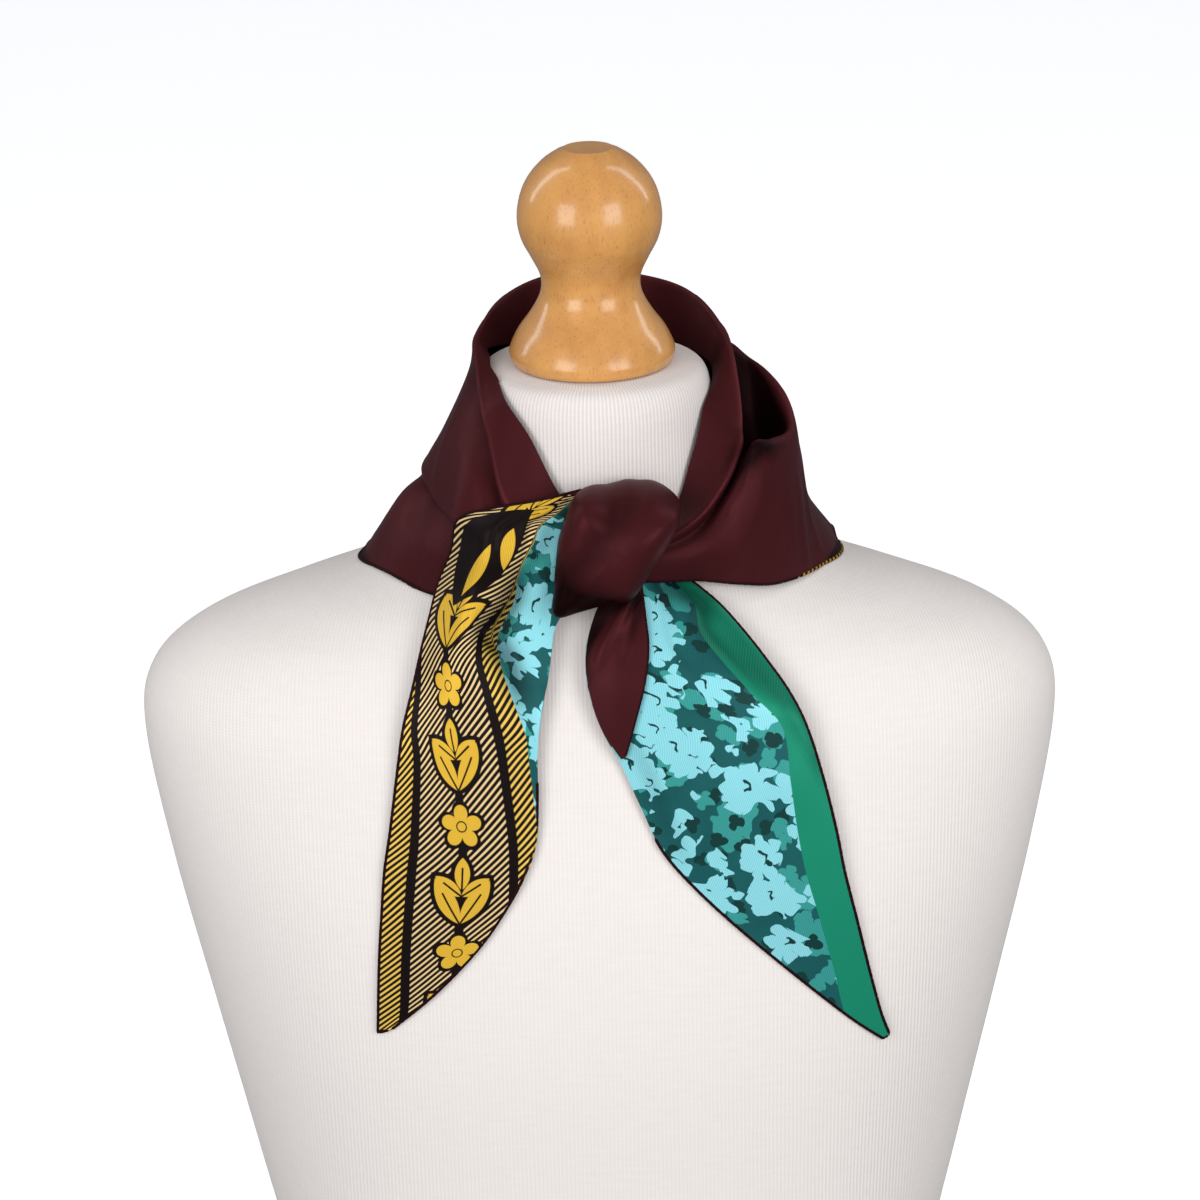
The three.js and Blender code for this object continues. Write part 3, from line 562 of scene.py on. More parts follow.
def crease_lift(grid, creases):
    """How far creases lift each point of a grid; for shades, how much painted shade they give it.

    Each crease runs over its places (share of the length, share of the width); it is as wide and as
    deep as it says, in millimetres, negative for a trough, and fades out towards both of its ends.
    """
    lift = np.zeros(grid.shape[:2])
    fades = end_fades(margin=0.06, power=0.6)
    for crease in creases:
        places = np.clip(smooth(crease["over"], ROUTE_POINTS), 0, 1)
        line = np.array([surface_place(grid, place) for place in places])
        nearest = np.full(grid.shape[:2], np.inf)
        fade = np.zeros(grid.shape[:2])
        for start, end, f0, f1 in zip(line[:-1], line[1:], fades[:-1], fades[1:]):
            run = end - start
            t = np.clip(((grid - start) @ run) / max(run @ run, 1e-9), 0, 1)
            distance = np.linalg.norm(grid - start - t[..., None] * run, axis=-1)
            closer = distance < nearest
            nearest = np.where(closer, distance, nearest)
            fade = np.where(closer, f0 + (f1 - f0) * t, fade)
        lift += crease["depth"] * fade * np.exp(-((nearest / crease["width"]) ** 2))
    return lift


def creased(grid, creases):
    """The grid with soft troughs and ridges pressed into it, and kept clear of the form."""
    grid = clear_of_form(grid)
    return clear_of_form(grid + grid_normals(grid) * crease_lift(grid, creases)[..., None])


def hollow_depth(grid):
    """How far each point of a grid lies below the same grid smoothed; less than zero on ridges."""
    level = grid
    for _ in range(2):
        level = level.transpose(1, 0, 2)
        spread = FOLD_REACH / np.linalg.norm(np.diff(level, axis=0), axis=-1).mean()
        offsets = np.arange(-round(2.5 * spread), round(2.5 * spread) + 1)
        weights = np.exp(-((offsets / spread) ** 2) / 2)
        last = len(level) - 1
        places = np.abs(np.arange(last + 1)[:, None] + offsets)
        places = np.clip(last - np.abs(last - places), 0, last)
        level = np.einsum("k,nkmc->nmc", weights / weights.sum(), level[places])
    return np.sum((level - grid) * grid_normals(grid), axis=-1)


# ------------------------------------------------------------------ meshes

HOLLOW = "hollow"  # fold depth plus painted shades, in millimetres, which sets the painted shade
FLAT_MAP = "flat_cloth"  # places on the flat, uncut cloth, in millimetres


def new_object(name, mesh, materials):
    """An object of the scene with its materials."""
    for material in materials:
        mesh.materials.append(material)
    piece = bpy.data.objects.new(name, mesh)
    bpy.context.scene.collection.objects.link(piece)
    return piece


def build_mesh(name, points, faces, flat, slots=None, sharp=(), hollow=None):
    """A smooth mesh from points in millimetres and faces, with the flat cloth place of each point.

    It may have the material slot of each face, its crisp edges and the depth that sets each point's painted
    shade.
    """
    mesh = bpy.data.meshes.new(name)
    mesh.from_pydata((np.asarray(points) * MM).tolist(), [], faces)
    mesh.polygons.foreach_set("use_smooth", np.ones(len(faces), bool))
    if slots:
        mesh.polygons.foreach_set("material_index", np.asarray(slots, np.int32))
    layer = mesh.uv_layers.new(name=FLAT_MAP)
    corners = np.empty(len(mesh.loops), np.int32)
    mesh.loops.foreach_get("vertex_index", corners)
    layer.uv.foreach_set("vector", np.asarray(flat, np.float32)[corners].ravel())
    if sharp:
        wanted = {tuple(sorted(pair)) for pair in sharp}
        edges = np.empty(len(mesh.edges) * 2, np.int32)
        mesh.edges.foreach_get("vertices", edges)
        marks = [tuple(sorted(pair)) in wanted for pair in edges.reshape(-1, 2).tolist()]
        mesh.attributes.new("sharp_edge", "BOOLEAN", "EDGE").data.foreach_set("value", marks)
    if hollow is not None:
        depths = np.asarray(hollow, np.float32)
        mesh.attributes.new(HOLLOW, "FLOAT", "POINT").data.foreach_set("value", depths)
    mesh.update()
    return mesh


def grid_faces(rows, columns, offset=0, flip=False):
    """The four-sided faces of a grid of points."""
    i, j = np.meshgrid(np.arange(rows - 1), np.arange(columns - 1), indexing="ij")
    a = (i * columns + j + offset).ravel()
    faces = np.stack([a, a + columns, a + columns + 1, a + 1], axis=1)
    return (faces[:, ::-1] if flip else faces).tolist()


def grid_rim(rows, columns):
    """The points round the edge of a grid, in order."""
    left = [i * columns for i in range(rows - 1)]
    bottom = [(rows - 1) * columns + j for j in range(columns - 1)]
    right = [i * columns + columns - 1 for i in range(rows - 1, 0, -1)]
    return left + bottom + right + list(range(columns - 1, 0, -1))


def cloth(name, grid, flat, thickness, materials, shades):
    """A sheet of cloth over a grid, with painted shade in its folds and shades: its face, reverse and thin
    rim.
    """
    rows, columns = grid.shape[:2]
    count = rows * columns
    out = grid_normals(grid) * (thickness / 2)
    points = np.concatenate([(grid + out).reshape(-1, 3), (grid - out).reshape(-1, 3)])
    faces = grid_faces(rows, columns) + grid_faces(rows, columns, count, flip=True)
    slots = [0] * (len(faces) // 2) + [1] * (len(faces) // 2)
    rim = grid_rim(rows, columns)
    sharp = []
    for a, b in zip(rim, rim[1:] + rim[:1]):
        faces.append([a, count + a, count + b, b])
        slots.append(1)
        sharp += [(a, b), (count + a, count + b)]
    places = np.concatenate([flat.reshape(-1, 2)] * 2)
    # depths that set the painted shade: the folds' own depth plus the shades on the face, turned over on the
    # reverse
    hollow = hollow_depth(grid).ravel()
    depths = np.concatenate([hollow + crease_lift(grid, shades).ravel(), -hollow])
    mesh = build_mesh(name, points, faces, places, slots, sharp, depths)
    return new_object(name, mesh, materials)


def even_line(line, step):
    """A line of points, spaced evenly, and how far along it each of them lies."""
    travelled = np.concatenate([[0], np.cumsum(np.linalg.norm(np.diff(line, axis=0), axis=1))])
    count = max(2, int(travelled[-1] / step))
    wanted = np.linspace(0, travelled[-1], count + 1)
    return np.stack([np.interp(wanted, travelled, line[:, k]) for k in range(3)], axis=1), wanted


def hem_sides(line, radius):
    """The sides of a soft roll, as lines along it that narrow at each slip stitch, with flat places."""
    route, travelled = even_line(line, HEM_STEP)
    tangents = unit(np.gradient(route, axis=0))
    across = unit(np.cross(tangents, HEM_SIDEWAYS))
    upright = np.cross(tangents, across)
    pinch = 1 - HEM_PINCH * np.clip(np.cos(travelled / STITCH * 2 * math.pi), 0, 1) ** 6
    from_start = np.arange(len(route))
    taper = np.clip(np.minimum(from_start, from_start[::-1]) / 2, 0.15, 1)
    sides, flat = [], []
    for k in range(HEM_SIDES):
        angle = 2 * math.pi * k / HEM_SIDES
        out = across * math.cos(angle) + upright * math.sin(angle)
        sides.append(route + out * (radius * pinch * taper)[:, None])
        flat.append(np.stack([travelled, np.full(len(route), angle * radius)], axis=1))
    return np.array(sides), np.array(flat)


def rolled_hem(name, lines, radius, material):
    """Rolled hems along lines of points."""
    points, faces, flat = [], [], []
    for line in lines:
        sides, places = hem_sides(line, radius)
        start, n = len(points), sides.shape[1]
        points += sides.reshape(-1, 3).tolist()
        flat += places.reshape(-1, 2).tolist()
        for k in range(HEM_SIDES):
            a, b = start + k * n, start + ((k + 1) % HEM_SIDES) * n
            faces += [[a + i, a + i + 1, b + i + 1, b + i] for i in range(n - 1)]
        first = [start + k * n for k in range(HEM_SIDES)]
        faces += [first[::-1], [point + n - 1 for point in first]]
    return new_object(name, build_mesh(name, points, faces, flat), [material])


def join_seams(mesh):
    """Joins the points that lie on each other, and turns every face outwards."""
    work = bmesh.new()
    work.from_mesh(mesh)
    bmesh.ops.remove_doubles(work, verts=work.verts, dist=1e-6)
    bmesh.ops.recalc_face_normals(work, faces=work.faces)
    work.to_mesh(mesh)
    work.free()


# ------------------------------------------------------------------ finishes


def maths(operation, swapped=False):
    """A method of Value that adds a Math node for itself and any others, with the others first if swapped."""

    def method(self, *others):
        values = (*others, self) if swapped else (self, *others)
        return self.finish.node("ShaderNodeMath", {"operation": operation}, dict(enumerate(values)))

    return method


class Value:
    """A socket of a finish's nodes, on which arithmetic adds Math nodes."""

    def __init__(self, finish, socket):
        self.finish, self.socket = finish, socket

    def also(self, output):
        """Another output of the same node."""
        return Value(self.finish, self.socket.node.outputs[output])

    __add__ = __radd__ = maths("ADD")
    __mul__ = __rmul__ = maths("MULTIPLY")
    __sub__, __rsub__ = maths("SUBTRACT"), maths("SUBTRACT", swapped=True)
    __truediv__, __mod__ = maths("DIVIDE"), maths("FLOORED_MODULO")
    __pow__, __abs__ = maths("POWER"), maths("ABSOLUTE")
    __lt__ = maths("LESS_THAN")
    least, most = maths("MINIMUM"), maths("MAXIMUM")
    cosine, angle_with = maths("COSINE"), maths("ARCTAN2")

    def length_with(self, other):
        return (self * self + other * other) ** 0.5

    def wave(self, pitch):
        """0 to 1 and back to 0 over every pitch."""
        return (self * (2 * math.pi / pitch)).cosine() * 0.5 + 0.5

    def stripe(self, pitch):
        """0 in the middle of every pitch and 1 at its ends."""
        return abs((self / pitch) % 1.0 - 0.5) * 2

    def below(self, level, sharpness):
        """More than 0.5 where this lies below a level, with an edge so sharp."""
        return (level - self) * sharpness + 0.5

    def clamped(self):
        """This value, but at least 0 and at most 1."""
        settings = {"operation": "ADD", "use_clamp": True}
        return self.finish.node("ShaderNodeMath", settings, {0: self, 1: 0.0})

    def inside(self, edge=0.25):
        """1 where this distance is below zero and 0 where it is above, with an edge so wide."""
        return (0.5 - self / edge).clamped()


class Finish:
    """A material and the nodes that give it its finish."""

    def __init__(self, name, settings):
        self.material = bpy.data.materials.new(name)
        self.material.use_nodes = True
        self.tree = self.material.node_tree
        self.tree.nodes.clear()
        self.shader = self.tree.nodes.new("ShaderNodeBsdfPrincipled")
        output = self.tree.nodes.new("ShaderNodeOutputMaterial")
        self.tree.links.new(self.shader.outputs["BSDF"], output.inputs["Surface"])
        for socket, value in settings.items():
            self.set(socket, value)

    def put(self, socket, value):
        """Links or sets the input of a node."""
        if isinstance(value, Value):
            self.tree.links.new(value.socket, socket)
        elif hasattr(value, "__len__") and len(socket.default_value) == 4:
            socket.default_value = (*value, 1)
        else:
            socket.default_value = value

    def set(self, socket, value):
        """Links or sets an input of the shader."""
        self.put(self.shader.inputs[socket], value)

    def node(self, kind, settings=None, inputs=None, output=0):
        """Adds a node with its settings and inputs, and returns one of its outputs."""
        node = self.tree.nodes.new(kind)
        for name, value in (settings or {}).items():
            setattr(node, name, value)
        for name, value in (inputs or {}).items():
            self.put(node.inputs[name], value)
        return Value(self, node.outputs[output])

    def mix(self, factor, low, high):
        """A colour between two colours."""
        settings = {"data_type": "RGBA", "clamp_factor": True}
        return self.node("ShaderNodeMix", settings, {0: factor, 6: low, 7: high}, output=2)

    def flat_places(self):
        """How far along and across the flat cloth each point lies, in millimetres."""
        flat = self.node("ShaderNodeUVMap", {"uv_map": FLAT_MAP})
        along = self.node("ShaderNodeSeparateXYZ", None, {0: flat})
        return along, along.also(1)

    def hollow(self):
        """The depth in the cloth's folds plus painted shades, in millimetres, which sets the painted shade.
        """
        return self.node("ShaderNodeAttribute", {"attribute_name": HOLLOW}, None, output="Fac")

    def own_place(self):
        """Where each point lies in its object, in metres."""
        return self.node("ShaderNodeTexCoord", None, None, output="Object")

    def vector(self, x, y, z=0.0):
        return self.node("ShaderNodeCombineXYZ", None, {0: x, 1: y, 2: z})

    def noise(self, vector, scale, detail=2.0, roughness=0.5):
        inputs = {"Vector": vector, "Scale": scale, "Detail": detail, "Roughness": roughness}
        return self.node("ShaderNodeTexNoise", None, inputs)

    def bump(self, height, distance, strength):
        """Feeds a height, whose full range is so many metres, to the shader's normal."""
        inputs = {"Height": height, "Distance": distance, "Strength": strength}
        self.set("Normal", self.node("ShaderNodeBump", None, inputs))


def scaled(tint, share):
    """A colour, darker or lighter by a share."""
    return tuple(share * part for part in tint)


def twill_height(along, across, scarf):
    """The height of the twill's fine diagonal lines, 0 to 1."""
    return (along * TWILL_LEAN[0] + across * TWILL_LEAN[1]).wave(scarf.twill / MM)


SILK = {
    "Specular Tint": (0.75, 0.55, 0.6),
    "Roughness": 0.45,
    "Metallic": 0.35,
    "Specular IOR Level": 0.1,
}
TWILL_LEAN = (0.5, 0.866)  # the way from one diagonal line to the next, along and across the cloth
TWILL_RELIEF = 0.00004  # height of these lines in metres
HOLLOW_SHADE = 0.3  # painted shade: how much darker plain silk gets per millimetre of depth in a fold
PRINT_SHADE = 0.2  # the same painted shade for the printed silk
RIDGE = 1.2  # folds that stand up by more millimetres than this get a painted highlight
RIDGE_LIGHT = 0.4  # how much lighter the painted highlight makes them with each millimetre


def plain_silk(name, ground, scarf):
    """Plain silk twill: fine diagonal lines, a slow change of tone, painted shade in hollows and painted
    highlight on ridges.
    """
    finish = Finish(name, SILK)
    along, across = finish.flat_places()
    lines = twill_height(along, across, scarf)
    cloud = finish.noise(finish.vector(along, across), scale=0.035, detail=3.0)
    tone = 0.46 + 0.10 * lines + 0.16 * cloud
    hollow = finish.hollow()
    plain = finish.mix(tone, scaled(ground, 0.55), scaled(ground, 1.5))
    # painted highlight on the ridges
    with_ridge_highlight = finish.mix((hollow + RIDGE) * -RIDGE_LIGHT, plain, scaled(ground, 1.7))
    # painted shade in the hollows
    finish.set("Base Color", finish.mix(hollow * HOLLOW_SHADE, with_ridge_highlight, scaled(ground, 0.15)))
    finish.set("Roughness", 0.38 + 0.12 * cloud)
    finish.bump(lines, TWILL_RELIEF, strength=0.6)
    return finish.material


LEAF_REPEAT = 62.0  # length of the leaf field that repeats
STEM = 2.1  # half the stem's width
OUTLINE = 2.0  # dark line round leaves and flowers
VEIN = 0.45  # half the width of a leaf's vein, which starts at a fifth of the leaf from its middle
# Leaves: start on the stem, length, width and lean from the stem.
LEAVES = by_name("start reach wide lean", [
    (1.0, 25, 8.4, 0.52),
    (15.0, 15, 6.2, 0.95),
    (18.0, 15, 7.0, 0.0),
])
# The dark ground near the top of the field, and its own leaves; side is how far each starts from the hem.
CORNER = {"start": 205.0, "side": 31.0, "reach": 60, "wide": 29, "lean": 0.10}
CORNER_LEAVES = by_name("start side reach wide lean", [
    (210.0, 33.0, 27, 6.4, 0.12),
    (226.0, 46.0, 21, 5.8, -0.22),
])
# The flower on the stem: its place, the radius between its petals, how far they reach past it, their
# number and the radius of the ring that is its eye.
ROSETTE = {"at": 47.0, "small": 4.6, "petal": 5.2, "petals": 5, "eye": 2.3}


def leaf_shape(along, across, leaf):
    """The signed distance to an almond leaf, and the place along and across it from its middle."""
    c, s = math.cos(leaf["lean"]), math.sin(leaf["lean"])
    start, reach, wide = leaf["start"], leaf["reach"], leaf["wide"]
    x = (along - start) * c + across * s - reach / 2
    y = across * c - (along - start) * s
    radius = ((reach / 2) ** 2 + (wide / 2) ** 2) / wide
    return x.length_with(abs(y) + (radius - wide / 2)) - radius, x, y


def striped_print(finish, along, across, scarf):
    """The border's colour: diagonal stripes, dark bars and a stem with leaves and five-petalled flowers."""
    band, bar, field = scarf.band / MM, scarf.bar / MM, scarf.field / MM
    stripes = (along - across).stripe(scarf.stripe / MM * math.sqrt(2))
    bright = finish.mix(stripes.below(0.45, 7), scarf.ink, scarf.straw)
    soft = finish.mix(stripes.below(0.41, 7), scarf.ink, scarf.beige)

    middle = band + bar + field / 2
    side = abs(across - middle)
    stage = along % LEAF_REPEAT
    yellow, dark = None, side - STEM
    for leaf in LEAVES:
        shape, x, y = leaf_shape(stage, side, leaf)
        vein = (abs(y) - VEIN).most(x - leaf["reach"] * 0.2)
        shape_open = shape.most(-1 * vein)
        yellow = shape_open if yellow is None else yellow.least(shape_open)
        dark = dark.least(shape - OUTLINE)
    x, y = stage - ROSETTE["at"], across - middle
    reach = x.length_with(y)
    petals = (y.angle_with(x) * (ROSETTE["petals"] / 2)).cosine()
    flower = reach - (abs(petals) ** 0.7 * ROSETTE["petal"] + ROSETTE["small"])
    eye = abs(reach - ROSETTE["eye"]) - 0.3
    yellow = yellow.least(flower.most(-1 * eye))
    dark = dark.least(flower - OUTLINE)

    ground, _, _ = leaf_shape(along, across - CORNER["side"], CORNER)
    dark, yellow = dark.least(ground), yellow.most(-1 * ground)
    for leaf in CORNER_LEAVES:
        shape, _, _ = leaf_shape(along, across - leaf["side"], leaf)
        yellow = yellow.least(shape)

    pattern = finish.mix(dark.inside(), soft, scarf.ink)
    pattern = finish.mix(yellow.inside(), pattern, scarf.ochre)
    in_field = (side - field / 2).inside()
    in_bars = (side - field / 2 - bar).inside()
    return finish.mix(in_field, finish.mix(in_bars, bright, scarf.ink), pattern)


# The blossom print's layers: the width of the cell that a shape lies in, its size, its number of petals
# and a number that sets its scatter; then the share of the cells that have one and its colour, or the
# radius of a blossom's eye.
BACKDROP = by_name("cell size petals seed share tone", [
    (24.0, 10.0, 3, 3.7, 0.55, "sea"),
    (10.0, 4.0, 3, 8.2, 0.45, "pine"),
    (14.0, 4.6, 4, 5.9, 0.40, "sea"),
])
BLOSSOMS = by_name("cell size petals seed eye", [
    (27.0, 13.0, 8, 1.3, 2.6),
    (23.0, 10.5, 7, 12.6, 2.2),
])


def blossoms(finish, along, across, layer, share):
    """Scattered shapes, one in a share of the cells: how far each point lies outside, from and below one."""
    cell, seed = layer["cell"], layer["seed"]
    wobble = finish.noise(finish.vector(along, across, seed), scale=0.16, detail=1.0)
    place = finish.vector(along / cell + seed + wobble * 0.35, across / cell - seed + wobble * 0.35)
    settings = {"voronoi_dimensions": "2D", "feature": "F1"}
    inputs = {"Vector": place, "Scale": 1.0, "Randomness": 0.75}
    middle = finish.node("ShaderNodeTexVoronoi", settings, inputs, output="Position")
    local = finish.node("ShaderNodeVectorMath", {"operation": "SUBTRACT"}, {0: place, 1: middle})
    x = finish.node("ShaderNodeSeparateXYZ", None, {0: local})
    y = x.also(1)
    turn = finish.node("ShaderNodeSeparateColor", None, {0: middle.also("Color")})
    present = turn.also(1) < share
    reach = x.length_with(y) * cell
    lobes = abs(((y.angle_with(x) + turn * 6.0) * (layer["petals"] / 2)).cosine())
    outline = (lobes**0.5 * 0.45 + 0.55) * layer["size"] * (0.8 + 0.4 * wobble)
    return (reach - outline) + (1 - present) * cell, reach, y * cell


def blossom_print(finish, along, across, scarf):
    """The centre's colour: pale blossoms over sea-green leaves and pine shadows, on a teal ground."""
    cloud = finish.noise(finish.vector(along, across), scale=0.04)
    pattern = finish.mix((cloud - 0.35) * 2.5, scaled(scarf.teal, 0.8), scarf.teal)
    for layer in BACKDROP:
        shape, _, _ = blossoms(finish, along, across, layer, layer["share"])
        pattern = finish.mix(shape.inside(0.35), pattern, getattr(scarf, layer["tone"]))
    sparse = ((26.0 - across) / 14).clamped().most(((70.0 - along) / 50).clamped())  # by the hem and the tip
    dense = cloud * 2.6 - 0.83 - sparse * 0.4
    for layer in BLOSSOMS:
        shape, reach, below = blossoms(finish, along, across, layer, dense)
        pattern = finish.mix(shape.inside(0.35), pattern, scarf.pale)
        eye = (abs(reach - layer["eye"]) - 0.55).most(shape + 2.0).most(below)
        pattern = finish.mix(eye.inside(0.3), pattern, scarf.pine)
    return pattern


def printed_silk(name, scarf, border):
    """Printed silk twill, with the border that its hem has: striped or plain green; painted shade in its
    folds.
    """
    finish = Finish(name, {**SILK, "Specular Tint": (1.0, 1.0, 1.0), "Metallic": 0.2})
    along, across = finish.flat_places()
    centre = blossom_print(finish, along, across, scarf)
    if border == "striped":
        width = 2 * scarf.band + 2 * scarf.bar + scarf.field
        edge = striped_print(finish, along, across, scarf)
    else:
        width, edge = scarf.green_band, scarf.green
    pattern = finish.mix((across - width / MM).inside(), centre, edge)
    lines = twill_height(along, across, scarf)
    # painted shade in the folds; with the twill's lines it darkens the print towards black
    painted_shade = (finish.hollow() * PRINT_SHADE).most(0.0).least(0.6)
    finish.set("Base Color", finish.mix(0.2 * lines + painted_shade, pattern, (0.0, 0.0, 0.0)))
    finish.bump(lines, TWILL_RELIEF, strength=0.5)
    return finish.material


def hem_silk(name, scarf, striped):
    """The rolled hem's silk: dark, or the border's stripes where they roll over the edge."""
    finish = Finish(name, {**SILK, "Roughness": 0.5})
    along, across = finish.flat_places()
    if striped:
        stripes = (along + across * 0.5).stripe(scarf.stripe / MM * math.sqrt(2))
        tone, bright = stripes.below(0.42, 6), scaled(scarf.ochre, 0.55)
    else:
        tone, bright = finish.noise(finish.vector(along, across), scale=0.6), scaled(scarf.maroon, 0.55)
    finish.set("Base Color", finish.mix(tone, scarf.ink, bright))
    finish.bump(twill_height(along, across, scarf), TWILL_RELIEF, strength=0.5)
    return finish.material


STITCH_ROW = 1.3  # height of a row of the jersey's stitches
JERSEY_RELIEF = 0.0002  # depth in metres between its ribs
# The neck draws the jersey's ribs in, and the painted shade between them grows there.
JERSEY_DRAWN = (560, 70)  # where the neck starts to draw its ribs in, up the jersey, and over how much


def ribbed_jersey(name, form):
    """Off-white jersey: fine upright ribs and rows of stitches, painted shade between them, a little
    unevenness.
    """
    soft = {"Roughness": 0.88, "Specular IOR Level": 0.2, "Sheen Weight": 0.15, "Sheen Roughness": 0.6}
    finish = Finish(name, soft)
    along, across = finish.flat_places()
    drift = finish.noise(finish.vector(along * 0.02, across * 0.004), scale=1.0, detail=3.0) * 3.0
    rib = (along + drift).wave(form.rib / MM)
    row = across.wave(STITCH_ROW)
    fuzz = finish.noise(finish.vector(along, across), scale=1.4, detail=3.0)
    start, reach = JERSEY_DRAWN
    rib_shade_strength = ((across - start) / reach).clamped() * 0.5 + 0.22  # painted rib shade, more up the neck
    slub = finish.noise(finish.vector(along * 0.25, across * 1.2), scale=0.35, detail=3.0)
    tone = 1.05 - rib_shade_strength * (1 - rib) - 0.08 * row - 0.3 * slub - 0.2 * fuzz
    finish.set("Base Color", finish.mix(tone, form.furrow_shade_and_slub, form.jersey))
    finish.bump(rib * 0.75 + row * 0.15 + fuzz * 0.25, JERSEY_RELIEF, strength=0.5)
    return finish.material


GRAIN = (1400, 1400, 260)  # how close the wood's flecks lie in x, y and z: they are long and upright
GRAIN_RELIEF = 0.0001  # depth of the flecks in metres
GROWTH = 0.009  # distance in metres between its growth rings


def varnished_wood(name, form):
    """Pale turned wood with short flecks along its upright grain, under a clear gloss varnish."""
    settings = {"Roughness": 0.36, "Coat Weight": 0.7, "Coat Roughness": 0.16, "Specular IOR Level": 0.4}
    finish = Finish(name, settings)
    place = finish.own_place()
    x = finish.node("ShaderNodeSeparateXYZ", None, {0: place})
    y, z = x.also(1), x.also(2)
    warp = finish.noise(place, scale=14.0)
    grain = finish.vector(x * GRAIN[0], y * GRAIN[1], z * GRAIN[2])
    fleck = finish.noise(grain, scale=1.0, roughness=0.6)
    flecks = ((fleck - 0.58) * 8).clamped() * 0.55
    rings = (x + y * 0.3 + warp * 0.02).wave(GROWTH) * 0.07
    cloud = finish.noise(place, scale=40.0, detail=4.0, roughness=0.65)
    tone = flecks + rings + (cloud - 0.42) * 1.3
    finish.set("Base Color", finish.mix(tone, form.wood, form.fleck))
    finish.set("Roughness", 0.3 + 0.2 * fleck)
    finish.bump(fleck, GRAIN_RELIEF, strength=0.15)
    return finish.material


def glowing_floor(name, stage):
    """The pale, even floor of a light tent, lit a little from below."""
    finish = Finish(name, {"Roughness": 0.9, "Specular IOR Level": 0.1})
    pale = tuple(stage.floor_colour)
    cloud = finish.noise(finish.own_place(), scale=3.0)
    finish.set("Base Color", finish.mix(cloud, scaled(pale, 0.985), pale))
    finish.set("Emission Color", pale)
    finish.set("Emission Strength", stage.glow)
    return finish.material


# ------------------------------------------------------------------ pieces


def finish_piece(piece, slot, *nodes):
    """Makes a piece ride on the form and hides the plain nodes that it stands for; slot, its finish's name,
    is not used.
    """
    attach(piece, ROOT)
    if nodes:
        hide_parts(*nodes)
    return piece


def form_ring(level, angles):
    """The form's outline at one level of its table, at angles from its right side."""
    z, half, front, back, square = level
    cosine, sine = np.cos(angles), np.sin(angles)
    depth = np.where(sine < 0, front, back)
    x = half * np.sign(cosine) * np.abs(cosine) ** (2 / square)
    y = depth * np.sign(sine) * np.abs(sine) ** (2 / square)
    return np.stack([x, y, np.full_like(x, z)], axis=-1)


def form_half(side):
    """The front (-1) or back (1) half of the form, and its flat places."""
    levels = smooth(FORM_TABLE, (len(FORM_TABLE) - 1) * FORM_STEPS + 1)
    gather = np.interp(GATHER_HEIGHT, FORM_TABLE[:, 0], np.arange(len(FORM_TABLE)))
    angles = np.linspace(0, math.pi, FORM_SIDES // 2 + 1) * side
    rings = np.array([form_ring(level, angles) for level in levels])
    gathered = lengths_along(form_ring(blend(FORM_TABLE, [gather])[0], angles)[:, None])[:, 0]
    around = np.where(levels[:, :1] > GATHER_HEIGHT, gathered, lengths_across(rings))
    around -= around[:, -1:] / 2
    up = lengths_along(rings)[:, FORM_SIDES // 4]
    return rings, np.stack([around, up[:, None] * np.ones(len(angles))], axis=-1)


def closed_solid(name, parts, material):
    """A closed solid from a grid all round it, or from its front and back halves; each has flat places."""
    points, faces, flat = [], [], []
    for (rings, places), flip in zip(parts, (False, True)):
        rows, columns = rings.shape[:2]
        start = len(points)
        points += rings.reshape(-1, 3).tolist()
        flat += places.reshape(-1, 2).tolist()
        faces += grid_faces(rows, columns, start, flip=flip)
        for row in (0, rows - 1):
            middle = len(points)
            points.append([0, 0, rings[row, 0, 2]])
            flat.append([0, places[row, 0, 1]])
            rim = [start + row * columns + j for j in range(columns)]
            backwards = (row == 0) != flip
            faces += [[middle, b, a] if backwards else [middle, a, b] for a, b in zip(rim, rim[1:])]
    mesh = build_mesh(name, points, faces, flat)
    join_seams(mesh)
    return new_object(name, mesh, [material])


class SCARF_OT_form(bpy.types.Operator):
    """Makes the dress form's jersey-covered body, finer than the plain one and on the same tables"""

    bl_idname = "scarf.form"
    bl_label = "Dress form"

    def execute(self, context):
        jersey = ribbed_jersey("ribbed jersey", context.scene.form_settings)
        piece = closed_solid("form_jersey", [form_half(-1), form_half(1)], jersey)
        finish_piece(piece, "jersey", "dress_form")
        return {"FINISHED"}


class SCARF_OT_cap(bpy.types.Operator):
    """Makes the turned wooden cap on the form's neck"""

    bl_idname = "scarf.cap"
    bl_label = "Neck cap"

    def execute(self, context):
        curve = smooth(table_of(CAP_ROWS, CAP_COLUMNS), (len(CAP_ROWS) - 1) * CAP_STEPS + 1)
        outline = np.concatenate([curve, CAP_CROWN])
        radius, height = outline[:, :1], outline[:, 1:]
        angles = np.linspace(0, 2 * math.pi, CAP_SIDES + 1)
        level = np.ones(len(angles))
        sides = [radius * np.cos(angles), radius * np.sin(angles), CAP_FOOT + height * level]
        rings = np.stack(sides, axis=-1)
        around = np.ones_like(radius) * angles * CAP_RADIUS
        wood = varnished_wood("varnished wood", context.scene.form_settings)
        flat = np.stack([around, lengths_along(rings)], axis=-1)
        piece = closed_solid("neck_cap_turned", [(rings, flat)], wood)
        piece.data.set_sharp_from_angle(angle=math.radians(CAP_SHARP))
        finish_piece(piece, "turned_wood", "neck_cap")
        return {"FINISHED"}


